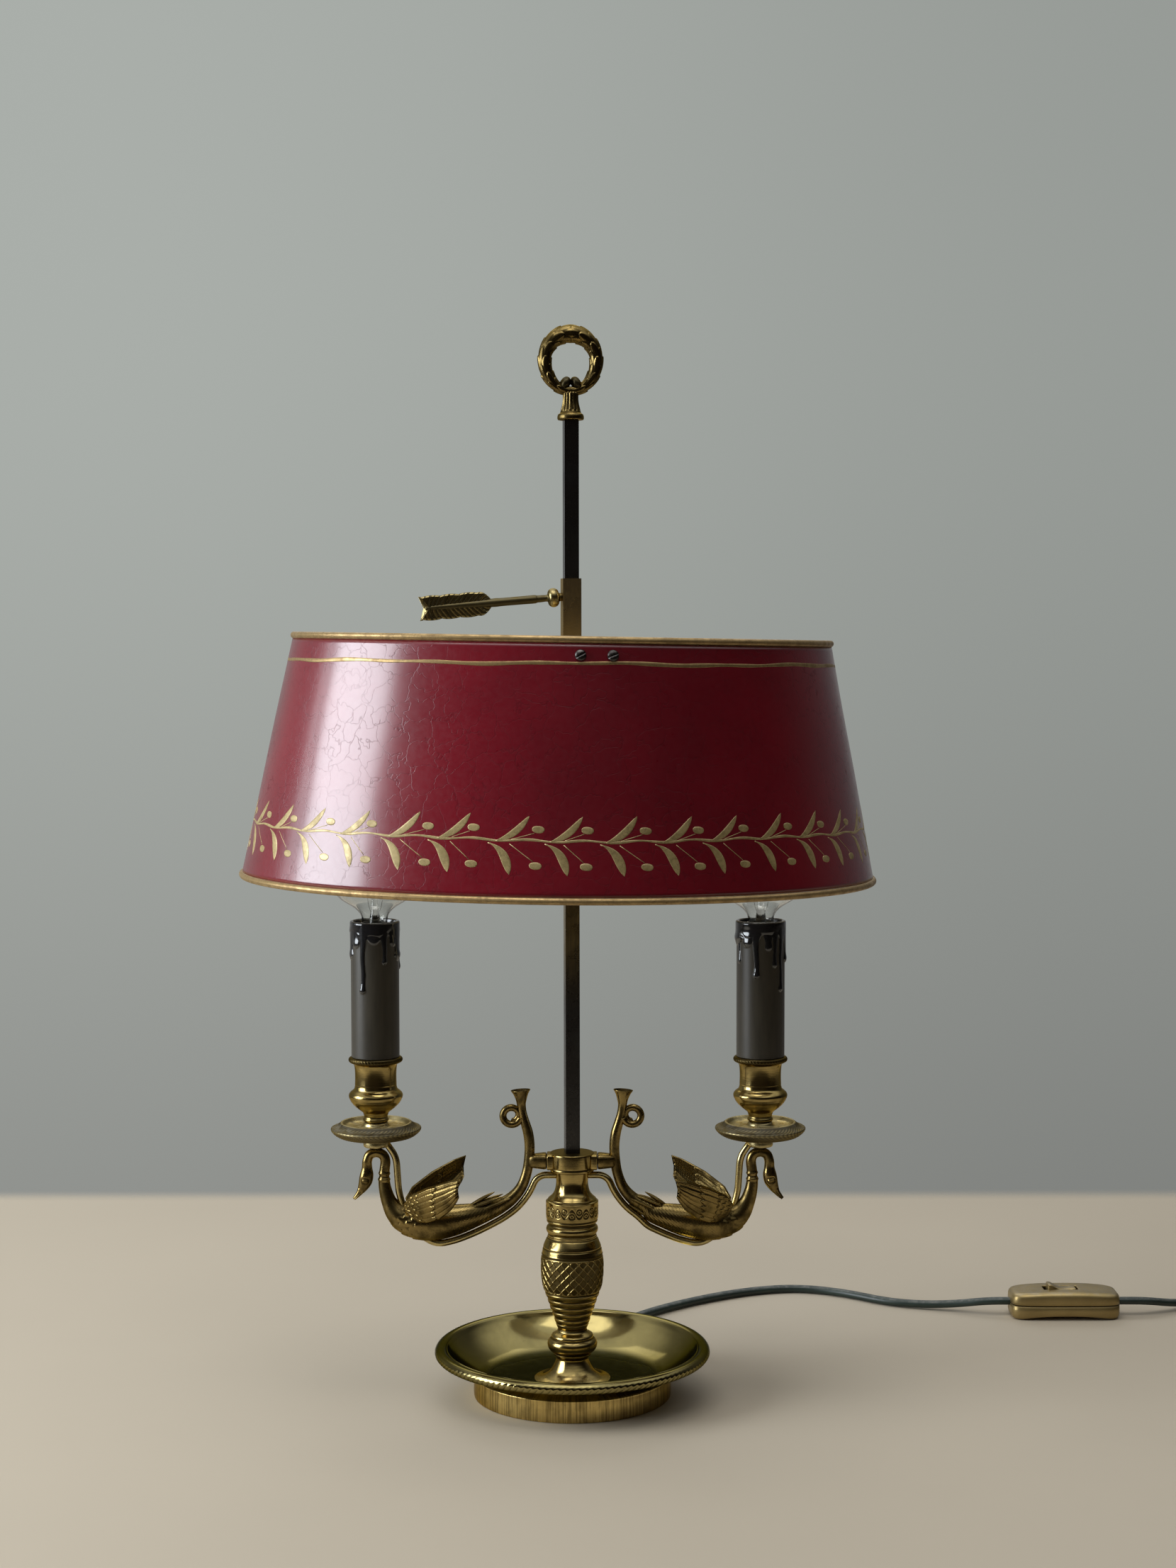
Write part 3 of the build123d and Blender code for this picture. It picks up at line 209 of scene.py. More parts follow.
def capped(grid):
    # both open ends drawn in to a point, so that the tube is closed
    first = np.repeat(grid[:1].mean(1, keepdims=True), grid.shape[1], 1)
    last = np.repeat(grid[-1:].mean(1, keepdims=True), grid.shape[1], 1)
    return np.concatenate((first, grid, last))


def endsTwice(rows):
    # values for a capped grid: the first and the last row once more
    return np.concatenate((rows[:1], rows, rows[-1:]))


def gauss(x, width):
    # a bell of height 1: e to the power of -(x / width)^2
    return np.exp(-((x / width) ** 2))


def splineCurve(name, points):
    # one open NURBS spline of order 3 through the ends, its points as control points, in metres
    data = bpy.data.curves.new(name, "CURVE")
    data.dimensions = "3D"
    data.resolution_u = 12
    spline = data.splines.new("NURBS")
    spline.points.add(len(points) - 1)
    spline.points.foreach_set("co", np.c_[np.asarray(points) * mm, np.ones(len(points))].ravel())
    spline.order_u = 3
    spline.use_endpoint_u = True
    return data


def curvePoints(data):
    # the points that Blender works out along the spline, in mm
    holder = bpy.data.objects.new("route", data)
    bpy.context.scene.collection.objects.link(holder)
    line = bpy.data.meshes.new_from_object(holder.evaluated_get(bpy.context.evaluated_depsgraph_get()))
    points = np.zeros(len(line.vertices) * 3)
    line.vertices.foreach_get("co", points)
    bpy.data.objects.remove(holder)
    bpy.data.meshes.remove(line)
    return points.reshape(-1, 3) / mm


# shader node groups: only colours, masks, values and normals come out of them
def newGroup(name, inputs, outputs):
    # an empty node group with named sockets
    group = bpy.data.node_groups.new(name, "ShaderNodeTree")
    for title, kind, value in inputs:
        socket = group.interface.new_socket(title, in_out="INPUT", socket_type="NodeSocket" + kind)
        if value is not None:
            socket.default_value = value
    for title, kind in outputs:
        group.interface.new_socket(title, in_out="OUTPUT", socket_type="NodeSocket" + kind)
    return group, group.nodes.new("NodeGroupInput").outputs, group.nodes.new("NodeGroupOutput").inputs


class Wires:
    # short calls for adding nodes to one tree; a socket or a plain value goes into each input
    def __init__(self, tree):
        self.tree = tree

    def feed(self, socket, value):
        # a link from a socket, or the plain value set; None leaves the input alone
        if isinstance(value, bpy.types.NodeSocket):
            self.tree.links.new(value, socket)
        elif value is not None:
            socket.default_value = value

    def node(self, kind, values=None, **settings):
        # a new node: settings first, then its inputs by name or number
        made = self.tree.nodes.new("ShaderNode" + kind)
        for key, value in settings.items():
            setattr(made, key, value)
        for key, value in (values or {}).items():
            self.feed(made.inputs[key], value)
        return made

    def math(self, operation, a, b=None, clamp=False):
        # one step of arithmetic on one or two values
        return self.node("Math", {0: a, 1: b}, operation=operation, use_clamp=clamp).outputs[0]

    def noise(self, vector, scale, detail=3.0, roughness=0.55, distortion=0.0):
        # noise between 0 and 1 at a place
        values = {"Vector": vector, "Scale": scale, "Detail": detail, "Roughness": roughness}
        values["Distortion"] = distortion
        return self.node("TexNoise", values).outputs["Fac"]

    def band(self, value, low, high, start=0.0, end=1.0):
        # eases from start to end while the value goes from low to high
        values = {"Value": value, "From Min": low, "From Max": high, "To Min": start, "To Max": end}
        return self.node("MapRange", values, interpolation_type="SMOOTHSTEP").outputs["Result"]

    def mix(self, factor, a, b, blend="MIX"):
        # a colour is a socket or three numbers
        made = self.node("Mix", data_type="RGBA", blend_type=blend)
        for place, value in ((0, factor), (6, a), (7, b)):
            self.feed(made.inputs[place], (*value, 1.0) if isinstance(value, tuple) else value)
        return made.outputs[2]

    def stretch(self, vector, scale):
        # each axis times its own scale
        return self.node("Mapping", {"Vector": vector, "Scale": scale}).outputs[0]

    def bump(self, height, strength, distance, normal=None):
        # a normal tilted by the slope of the height
        values = {"Height": height, "Strength": strength, "Distance": distance, "Normal": normal}
        return self.node("Bump", values).outputs[0]


def patinaGroup():
    # cloudy tarnish and pin spots, deeper where the hollows-and-shade value is high: patina in hollows, and
    # painted shade where the mask darkens a face
    group, inside, out = newGroup(
        "patina",
        [("Vector", "Vector", None), ("Scale", "Float", 90.0), ("Amount", "Float", 0.4),
         ("Cavity", "Float", 0.0)],
        [("TarnishAndShade", "Float"), ("Spots", "Float"), ("Height", "Float")],
    )
    w = Wires(group)
    cloud = w.noise(inside["Vector"], inside["Scale"], 5.0, 0.6, 0.4)
    fine = w.noise(inside["Vector"], w.math("MULTIPLY", inside["Scale"], 9.0), 4.0, 0.7)
    spots = w.band(fine, 0.66, 0.74)
    base = w.math("MULTIPLY", w.band(cloud, 0.35, 0.72), inside["Amount"])
    # patina in hollows and painted shade both darken the brass here
    deep = w.math("MULTIPLY", w.band(inside["Cavity"], 0.25, 0.9), 0.9)
    w.feed(out["TarnishAndShade"], w.math("MAXIMUM", base, deep, clamp=True))
    w.feed(out["Spots"], spots)
    w.feed(out["Height"], w.math("ADD", w.math("MULTIPLY", cloud, 0.5), w.math("MULTIPLY", fine, 0.5)))
    return group


def grainGroup():
    # fine lines along one direction: noise stretched by the vector's scale
    group, inside, out = newGroup(
        "grain", [("Vector", "Vector", None), ("Stretch", "Vector", (1.0, 1.0, 1.0))], [("Line", "Float")]
    )
    w = Wires(group)
    scaled = w.node("VectorMath", {0: inside["Vector"], 1: inside["Stretch"]}, operation="MULTIPLY")
    w.feed(out["Line"], w.noise(scaled.outputs[0], 1.0, 3.0, 0.6))
    return group


def crackGroup():
    # crazed paint: edges of warped cells, present in patches
    group, inside, out = newGroup(
        "crackle",
        [("Vector", "Vector", None), ("Scale", "Float", 60.0), ("Width", "Float", 0.03),
         ("Cover", "Float", 0.5)],
        [("Crack", "Float"), ("Cell", "Float")],
    )
    w = Wires(group)
    warp = w.node("TexNoise", {"Vector": inside["Vector"], "Scale": w.math("MULTIPLY", inside["Scale"], 1.3)})
    shift = w.node("VectorMath", {0: warp.outputs["Color"], 1: (0.012, 0.012, 0.012)}, operation="MULTIPLY")
    moved = w.node("VectorMath", {0: inside["Vector"], 1: shift.outputs[0]}, operation="ADD").outputs[0]
    cells = w.node("TexVoronoi", {"Vector": moved, "Scale": inside["Scale"]}, feature="DISTANCE_TO_EDGE")
    tone = w.node("TexVoronoi", {"Vector": moved, "Scale": inside["Scale"]})
    line = w.node("MapRange", {"Value": cells.outputs["Distance"], "From Min": 0.0, "To Min": 1.0,
                               "To Max": 0.0})
    w.feed(line.inputs["From Max"], inside["Width"])
    patch = w.noise(inside["Vector"], 22.0, 2.0)
    cover = w.node("MapRange", {"Value": patch, "From Max": 0.75, "To Min": 0.0, "To Max": 1.0})
    w.feed(cover.inputs["From Min"], w.math("SUBTRACT", 1.0, inside["Cover"]))
    w.feed(out["Crack"], w.math("MULTIPLY", line.outputs[0], cover.outputs[0], clamp=True))
    w.feed(out["Cell"], tone.outputs["Distance"])
    return group


def dustGroup():
    # dust that settles on faces that look upwards, broken up by noise
    group, inside, out = newGroup(
        "dust",
        [("Vector", "Vector", None), ("Scale", "Float", 300.0), ("Amount", "Float", 0.3)],
        [("Mask", "Float")],
    )
    w = Wires(group)
    normal = w.node("NewGeometry").outputs["Normal"]
    up = w.node("SeparateXYZ", {0: normal}).outputs["Z"]
    speck = w.noise(inside["Vector"], inside["Scale"], 4.0, 0.65)
    level = w.math("MULTIPLY", w.band(up, 0.35, 0.95), w.band(speck, 0.38, 0.7))
    w.feed(out["Mask"], w.math("MULTIPLY", level, inside["Amount"]))
    return group


groups = {"patina": patinaGroup(), "grain": grainGroup(), "crackle": crackGroup(), "dust": dustGroup()}


class Finish(Wires):
    # a material with its Principled BSDF; the helpers add nodes to its tree
    def __init__(self, name, **shader):
        self.material = bpy.data.materials.new(name)
        self.material.use_nodes = True
        super().__init__(self.material.node_tree)
        self.shader = self.tree.nodes["Principled BSDF"]
        for key, value in shader.items():
            self.shader.inputs[key].default_value = value
        self.objectSpace = self.node("TexCoord").outputs["Object"]

    def group(self, name, **values):
        # one of the node groups, on object coordinates unless told otherwise
        made = self.node("Group", node_tree=groups[name])
        for key, value in {"Vector": self.objectSpace, **values}.items():
            self.feed(made.inputs[key], value)
        return made.outputs

    def attribute(self, name):
        # a value kept on the mesh's points
        return self.node("Attribute", attribute_name=name, attribute_type="GEOMETRY").outputs["Fac"]

    def out(self, socket, value):
        # feeds the shader and hands back the material
        self.feed(self.shader.inputs[socket], value)
        return self.material


def agedBrass(name, bright, dark, roughness, amount=0.35, grain=None, relief=0.12, dusty=0.25,
              scale=90.0, streak=0.12, edge=(0.75, 0.63, 0.42)):
    # brass that is polished where hands reach it and brown in its hollows; painted shade from the tone mask
    # darkens it the same way, as on the hub's top
    made = Finish(name, Metallic=1.0)
    made.shader.inputs["Specular Tint"].default_value = (*edge, 1.0)
    patina = made.group("patina", Scale=scale, Amount=amount, Cavity=made.attribute("toneAndPaintedShade"))
    colour = made.mix(patina["TarnishAndShade"], bright, dark)
    colour = made.mix(made.math("MULTIPLY", patina["Spots"], 0.45), colour, tuple(0.45 * c for c in dark))
    dust = made.group("dust", Amount=dusty)["Mask"]
    colour = made.mix(dust, colour, (0.34, 0.32, 0.27))
    rough = made.math("ADD", made.band(patina["TarnishAndShade"], 0.0, 1.0, roughness, roughness + 0.22), dust)
    height = patina["Height"]
    if grain:
        line = made.group("grain", Stretch=grain)["Line"]
        height = made.math("ADD", made.math("MULTIPLY", height, 0.5), line)
        colour = made.mix(made.band(line, 0.38, 0.66, 0.0, streak), colour, dark)
    made.out("Base Color", colour)
    made.out("Roughness", rough)
    return made.out("Normal", made.bump(height, relief, 0.0006))


print("camera, helpers and shader groups ready")

# materials
castBrass = agedBrass("castBrass", (0.28, 0.20, 0.072), (0.024, 0.016, 0.006), 0.2, 0.85, relief=0.16,
                      dusty=0.05)
turnedBrass = agedBrass("turnedBrass", (0.43, 0.32, 0.12), (0.032, 0.022, 0.009), 0.15, 0.6,
                        (60.0, 60.0, 2600.0), 0.045, 0.06)
footBrass = agedBrass("footBrass", (0.70, 0.52, 0.19), (0.08, 0.052, 0.018), 0.14, 0.4, (900.0, 900.0, 25.0),
                      0.12, 0.1, streak=0.62)
dishBrass = agedBrass("dishBrass", (0.33, 0.27, 0.11), (0.014, 0.016, 0.014), 0.10, 0.3, relief=0.04,
                      dusty=0.02, scale=30.0, edge=(0.29, 0.30, 0.27))
tubeBrass = agedBrass("tubeBrass", (0.56, 0.45, 0.20), (0.09, 0.068, 0.03), 0.2, 0.35)
collarBrass = agedBrass("collarBrass", (0.62, 0.48, 0.25), (0.22, 0.16, 0.085), 0.26, 0.3,
                        (1500.0, 1500.0, 40.0), 0.14)
panBronze = agedBrass("panBronze", (0.50, 0.41, 0.20), (0.045, 0.039, 0.032), 0.26, 0.35, relief=0.2,
                      dusty=0.35)
arrowBronze = agedBrass("arrowBronze", (0.34, 0.27, 0.12), (0.036, 0.030, 0.017), 0.25, 0.4, relief=0.15)


def rodFinish():
    # nearly black bronze, rubbed to brass over a few centimetres at and below the shade's lower edge
    made = Finish("rodBronze", Metallic=1.0)
    height = made.node("SeparateXYZ", {0: made.objectSpace}).outputs["Z"]
    rubbed = made.math("MULTIPLY", made.band(height, 0.19, 0.235), made.band(height, 0.275, 0.262))
    patina = made.group("patina", Scale=70.0, Amount=0.6)
    line = made.group("grain", Stretch=(2200.0, 2200.0, 30.0))["Line"]
    rubbed = made.math("MULTIPLY", rubbed, made.band(line, 0.25, 0.6, 0.55, 1.0))
    dark = made.mix(patina["TarnishAndShade"], (0.13, 0.125, 0.12), (0.052, 0.051, 0.050))
    made.out("Base Color", made.mix(rubbed, dark, (0.40, 0.30, 0.13)))
    made.out("Roughness", made.band(patina["TarnishAndShade"], 0.0, 1.0, 0.26, 0.42))
    return made.out("Normal", made.bump(made.math("ADD", patina["Height"], line), 0.14, 0.0005))


def shadePaint():
    # crimson enamel under clear varnish, crazed in patches; the inside is ivory
    made = Finish("crimsonTole")
    made.shader.inputs["Coat Roughness"].default_value = 0.19
    made.shader.inputs["Coat IOR"].default_value = 1.6
    inside = made.attribute("toneAndPaintedShade")
    crack = made.group("crackle", Scale=105.0, Width=0.028, Cover=0.8)
    cloud = made.noise(made.objectSpace, 14.0, 4.0)
    fine = made.noise(made.objectSpace, 420.0, 3.0, 0.7)
    red = made.mix(made.band(cloud, 0.3, 0.7), (0.225, 0.0018, 0.012), (0.165, 0.0014, 0.0095))
    red = made.mix(made.math("MULTIPLY", crack["Crack"], 0.5), red, (0.030, 0.006, 0.008))
    dust = made.group("dust", Scale=500.0, Amount=0.2)["Mask"]
    scratch = made.noise(made.stretch(made.objectSpace, (160.0, 160.0, 14.0)), 1.0, 4.0, 0.6, 1.5)
    scratch = made.band(scratch, 0.735, 0.76)
    red = made.mix(made.math("MULTIPLY", scratch, 0.35), red, (0.30, 0.10, 0.12))
    red = made.mix(made.math("ADD", made.math("MULTIPLY", fine, 0.05), dust), red, (0.30, 0.16, 0.18))
    ivory = made.mix(made.band(cloud, 0.3, 0.75), (0.66, 0.60, 0.48), (0.52, 0.45, 0.33))
    made.out("Base Color", made.mix(inside, red, ivory))
    made.out("Coat Weight", made.band(crack["Crack"], 0.0, 0.8, 0.85, 0.15))
    made.out("Roughness", made.math("ADD", made.math("MULTIPLY", fine, 0.2), 0.22))
    wave = made.noise(made.objectSpace, 9.0, 3.0)
    level = made.math("ADD", made.math("MULTIPLY", wave, 6.0), made.math("MULTIPLY", fine, 0.10))
    level = made.math("SUBTRACT", level, made.math("MULTIPLY", crack["Crack"], 0.35))
    return made.out("Normal", made.bump(level, 0.25, 0.0008))


def goldPaint(name, light, dark, metal):
    # worn gold paint, thin and cracked in places
    made = Finish(name, Metallic=metal)
    crack = made.group("crackle", Scale=210.0, Width=0.05, Cover=0.75)
    cloud = made.noise(made.objectSpace, 190.0, 4.0, 0.7)
    colour = made.mix(made.band(cloud, 0.35, 0.68), light, dark)
    colour = made.mix(made.math("MULTIPLY", crack["Crack"], 0.6), colour, (0.09, 0.045, 0.025))
    made.out("Base Color", colour)
    made.out("Roughness", made.band(cloud, 0.3, 0.7, 0.3, 0.52))
    return made.out("Normal", made.bump(cloud, 0.15, 0.0004))


def sleeveFinish():
    # dark satin tube; the painted wax drips are glossy black
    made = Finish("candleBlack")
    drip = made.attribute("toneAndPaintedShade")
    cloud = made.noise(made.stretch(made.objectSpace, (300.0, 300.0, 40.0)), 1.0, 4.0, 0.6)
    satin = made.mix(made.band(cloud, 0.3, 0.7), (0.055, 0.048, 0.035), (0.040, 0.035, 0.026))
    dust = made.group("dust", Amount=0.4)["Mask"]
    colour = made.mix(made.band(drip, 0.15, 0.6), satin, (0.012, 0.012, 0.013))
    made.out("Base Color", made.mix(dust, colour, (0.30, 0.28, 0.25)))
    made.out("Coat Weight", made.band(drip, 0.2, 0.7, 0.05, 0.8))
    made.out("Roughness", made.band(drip, 0.2, 0.7, 0.36, 0.14))
    return made.out("Normal", made.bump(cloud, 0.06, 0.0004))


def plasticFinish(name, light, dark, roughness, speck=900.0, metal=0.0):
    # moulded plastic with a slight cloudiness and scuffs
    made = Finish(name, Metallic=metal)
    cloud = made.noise(made.objectSpace, 60.0, 4.0)
    fine = made.noise(made.objectSpace, speck, 3.0, 0.7)
    dust = made.group("dust", Amount=0.3)["Mask"]
    colour = made.mix(made.band(cloud, 0.3, 0.7), light, dark)
    colour = made.mix(dust, colour, (0.32, 0.30, 0.27))
    made.out("Base Color", made.mix(made.attribute("toneAndPaintedShade"), colour, tuple(0.2 * c for c in dark)))
    made.out("Roughness", made.math("ADD", made.math("MULTIPLY", fine, 0.22), roughness))
    return made.out("Normal", made.bump(fine, 0.06, 0.0004))


def metalFinish(name, light, dark, roughness, scale=140.0):
    # plain worked metal: cloudy tone, pin spots, fine scratches
    made = Finish(name, Metallic=1.0)
    patina = made.group("patina", Scale=scale, Amount=0.7, Cavity=made.attribute("toneAndPaintedShade"))
    colour = made.mix(patina["TarnishAndShade"], light, dark)
    dust = made.group("dust", Amount=0.3)["Mask"]
    made.out("Base Color", made.mix(dust, colour, (0.25, 0.23, 0.20)))
    made.out("Roughness", made.band(patina["TarnishAndShade"], 0.0, 1.0, roughness, roughness + 0.2))
    return made.out("Normal", made.bump(patina["Height"], 0.15, 0.0005))


def glassFinish():
    # clear glass whose tint and surface vary very slightly
    made = Finish("clearGlass", Roughness=0.0, IOR=1.45)
    made.shader.inputs["Transmission Weight"].default_value = 1.0
    cloud = made.noise(made.objectSpace, 35.0, 3.0)
    made.out("Base Color", made.mix(cloud, (0.985, 0.985, 0.97), (0.955, 0.955, 0.94)))
    return made.out("Normal", made.bump(cloud, 0.05, 0.0006))


def feltFinish():
    # green felt: fine noise for its hairs
    made = Finish("feltGreen", Roughness=0.95)
    made.shader.inputs["Sheen Weight"].default_value = 0.4
    hair = made.noise(made.objectSpace, 1800.0, 4.0, 0.8)
    made.out("Base Color", made.mix(hair, (0.030, 0.075, 0.040), (0.055, 0.125, 0.065)))
    return made.out("Normal", made.bump(hair, 0.6, 0.0004))


rodBronze = rodFinish()
crimsonTole = shadePaint()
vineGold = goldPaint("vineGold", (0.56, 0.43, 0.20), (0.36, 0.27, 0.11), 0.2)
edgeGold = goldPaint("edgeGold", (0.47, 0.32, 0.14), (0.30, 0.20, 0.085), 0.6)
candleBlack = sleeveFinish()
flexGreen = plasticFinish("flexGreen", (0.020, 0.035, 0.028), (0.012, 0.022, 0.018), 0.3)
goldPlastic = plasticFinish("goldPlastic", (0.38, 0.28, 0.115), (0.30, 0.22, 0.09), 0.26, metal=0.75)
holderBlack = plasticFinish("holderBlack", (0.03, 0.028, 0.026), (0.02, 0.019, 0.018), 0.45)
tieBlack = plasticFinish("tieBlack", (0.016, 0.016, 0.017), (0.012, 0.012, 0.012), 0.4)
screwBlack = metalFinish("screwBlack", (0.11, 0.10, 0.095), (0.035, 0.03, 0.03), 0.34, 400.0)
zincSteel = metalFinish("zincSteel", (0.55, 0.55, 0.54), (0.30, 0.29, 0.27), 0.3)
castIron = metalFinish("castIron", (0.13, 0.125, 0.12), (0.06, 0.05, 0.045), 0.55)
capTin = metalFinish("capTin", (0.62, 0.60, 0.56), (0.38, 0.36, 0.32), 0.28)
pinNickel = metalFinish("pinNickel", (0.62, 0.60, 0.55), (0.42, 0.40, 0.36), 0.2)
wireSteel = metalFinish("wireSteel", (0.32, 0.31, 0.30), (0.16, 0.15, 0.14), 0.3)
clearGlass = glassFinish()
feltGreen = feltFinish()

slotFinish = {
    "brass": turnedBrass,
    "rod_bronze": rodBronze,
    "rod_brass": collarBrass,
    "tube_brass": tubeBrass,
    "shade_paint": crimsonTole,
    "gold_edge": edgeGold,
    "dark_screw": screwBlack,
    "steel": zincSteel,
    "iron": castIron,
    "felt": feltGreen,
    "candle_dark": candleBlack,
    "holder": holderBlack,
    "cap_metal": capTin,
    "clear_glass": clearGlass,
    "filament": wireSteel,
    "flex": flexGreen,
    "cord_plastic": goldPlastic,
    "pin_metal": pinNickel,
}
for part in frame["record"]["subparts"]:
    mesh = nodes[part["node"]].data
    mesh.materials.clear()
    mesh.materials.append(slotFinish[part["material_slot"]])
print("materials ready")

# floor, world and lamps
stageSetup = {
    "floorColour": (0.56, 0.485, 0.375),
    "floorRadius": 1.5,       # metres, like the fades and edges
    "floorRings": 24,
    "floorColumns": 96,
    "fadeFrom": 0.60,
    "fadeTo": 0.95,
    "frontEdge": (-0.52, -0.36),   # the floor appears between these, from front to back
    "backEdge": (0.455, 0.420),    # and disappears again between these
    "wallLow": (0.240, 0.243, 0.230),
    "wallHigh": (0.40, 0.425, 0.40),
    "wallShade": (0.77, 0.77, 0.77),
    "roomFront": (0.026, 0.021, 0.017),
    "roomBack": (0.26, 0.265, 0.26),
    "roomBelow": (0.24, 0.215, 0.18),
    "roomAbove": (0.40, 0.41, 0.41),
    "mirroredAbove": (0.95, 0.97, 0.96),
    "roomRight": (0.40, 0.40, 0.42),
}


def makeFloor():
    # a pale disc that fades out softly all round, and quickly along a straight front and back edge
    rings, columns = stageSetup["floorRings"], stageSetup["floorColumns"]
    ring = np.linspace(0, stageSetup["floorRadius"], rings)[:, None]
    angle = circle(columns)
    points = np.stack((ring * np.cos(angle), ring * np.sin(angle), 0 * ring * angle), -1)
    made = Finish("paleFloor", Roughness=0.75)
    reach = made.node("VectorMath", {0: made.objectSpace}, operation="LENGTH").outputs["Value"]
    cloud = made.noise(made.objectSpace, 5.0, 4.0)
    pale = stageSetup["floorColour"]
    made.out("Base Color", made.mix(cloud, pale, tuple(0.93 * c for c in pale)))
    deep = made.node("SeparateXYZ", {0: made.objectSpace}).outputs["Y"]
    fade = made.band(reach, stageSetup["fadeFrom"], stageSetup["fadeTo"], 1.0, 0.0)
    edges = made.math("MULTIPLY", made.band(deep, *stageSetup["frontEdge"]),
                      made.band(deep, *stageSetup["backEdge"]))
    made.out("Alpha", made.math("MULTIPLY", fade, edges))
    mesh = bpy.data.meshes.new("paleFloor")
    mesh.from_pydata(points.reshape(-1, 3).tolist(), [], gridFaces(rings, columns, False).tolist())
    work = bmesh.new()
    work.from_mesh(mesh)
    bmesh.ops.remove_doubles(work, verts=work.verts, dist=1e-6)
    bmesh.ops.recalc_face_normals(work, faces=work.faces)
    if sum(face.normal.z for face in work.faces) < 0:
        bmesh.ops.reverse_faces(work, faces=work.faces)
    work.to_mesh(mesh)
    work.free()
    mesh.materials.append(made.material)
    floor = bpy.data.objects.new("paleFloor", mesh)
    bpy.context.scene.collection.objects.link(floor)


def makeWorld():
    # backdrop for the camera: plain grey, a little darker below and to the right; the room that lights it is
    # dark in front, grey behind and to the right, pale below and above, and brightest above where mirrored
    world = bpy.data.worlds.new("studio")
    bpy.context.scene.world = world
    world.use_nodes = True
    w = Wires(world.node_tree)
    way = w.node("SeparateXYZ", {0: w.node("TexCoord").outputs["Generated"]}).outputs
    wall = w.mix(w.band(way["Z"], -0.40, 0.15), stageSetup["wallLow"], stageSetup["wallHigh"])
    wall = w.mix(w.band(way["X"], -0.22, 0.26), wall, w.mix(1.0, wall, stageSetup["wallShade"], "MULTIPLY"))
    room = w.mix(w.band(way["Y"], -0.15, 0.85), stageSetup["roomFront"], stageSetup["roomBack"])
    below = w.math("MULTIPLY", w.band(way["Z"], -0.05, -0.30), w.band(way["Y"], -0.45, 0.25))
    room = w.mix(below, room, stageSetup["roomBelow"])
    room = w.mix(w.band(way["X"], 0.05, 0.75), room, w.mix(1.0, room, stageSetup["roomRight"], "MULTIPLY"))
    path = w.node("LightPath").outputs
    above = w.mix(path["Is Glossy Ray"], stageSetup["roomAbove"], stageSetup["mirroredAbove"])
    room = w.mix(w.band(way["Z"], 0.45, 0.85), room, above)
    seen = w.math("MAXIMUM", path["Is Camera Ray"], path["Is Transmission Ray"])
    w.feed(world.node_tree.nodes["Background"].inputs["Color"], w.mix(seen, room, wall))


def makeLamp(name, azimuth, elevation, distance, size, power, colour, aim=(0.0, 0.0, 0.22)):
    # a rectangular lamp that faces the aim from an azimuth and elevation in degrees
    light = bpy.data.lights.new(name, "AREA")
    light.shape = "RECTANGLE"
    light.size, light.size_y = size
    light.energy = power
    light.color = colour
    lamp = bpy.data.objects.new(name, light)
    bpy.context.scene.collection.objects.link(lamp)
    a, e = np.radians(azimuth), np.radians(elevation)
    away = np.array([np.cos(e) * np.cos(a), np.cos(e) * np.sin(a), np.sin(e)])
    lamp.location = np.array(aim) + distance * away
    lamp.rotation_euler = (np.pi / 2 - e, 0.0, a + np.pi / 2)


makeFloor()
makeWorld()
makeLamp("windowLeft", 194, 15, 1.7, (0.98, 1.15), 33.0, (0.88, 0.94, 1.0))
makeLamp("windowEdge", 170, 15, 1.9, (0.14, 1.1), 1.2, (0.90, 0.95, 1.0))
makeLamp("softAbove", 250, 76, 2.0, (1.5, 1.2), 13.0, (1.0, 0.985, 0.96))
makeLamp("backSoft", 95, 38, 2.2, (1.6, 1.0), 5.0, (1.0, 1.0, 1.0))
print("stage ready")

# in-line switch: two half shells and the rocker
switchSetup = {
    "place": (271.5, 140.5),
    "halfLength": 30.0,
    "halfWidth": 13.0,
    "squareness": 5.0,
    "seam": 8.0,
    "gap": 0.12,          # half the gap at the seam
    "top": 15.5,
    "crown": 1.5,         # fall of the top towards its ends
    "arch": 2.1,          # rise of the underside in the middle
    "archHalf": 26.0,
    "opening": (19.0, 8.6),
    "rockerShift": -2.0,
    "pivotHeight": 11.0,
    "rockerLean": 8.0,
    "rockerWidth": 8.0,
}


def switchRing(inset, height, columns=96):
    # super-ellipse |x / a|^p + |y / b|^p = 1, drawn in by an inset
    setup = switchSetup
    angle = (np.arange(columns) + 0.5) * tau / columns
    power = 2 / setup["squareness"]
    x = (setup["halfLength"] - inset) * squared(np.cos(angle), power)
    y = (setup["halfWidth"] - inset) * squared(np.sin(angle), power)
    return np.stack((x, y, height + 0 * x), 1)


def openingRing(height, columns=96):
    # the rocker's rectangular opening, its points on the same rays as the outline's
    setup = switchSetup
    halfX, halfY = 0.5 * np.array(setup["opening"])
    ring = switchRing(0.0, height, columns)
    reach = np.minimum(halfX / np.maximum(np.abs(ring[:, 0]), 1e-6),
                       halfY / np.maximum(np.abs(ring[:, 1]), 1e-6))
    ring[:, :2] *= reach[:, None]
    ring[:, 0] += setup["rockerShift"]
    return ring


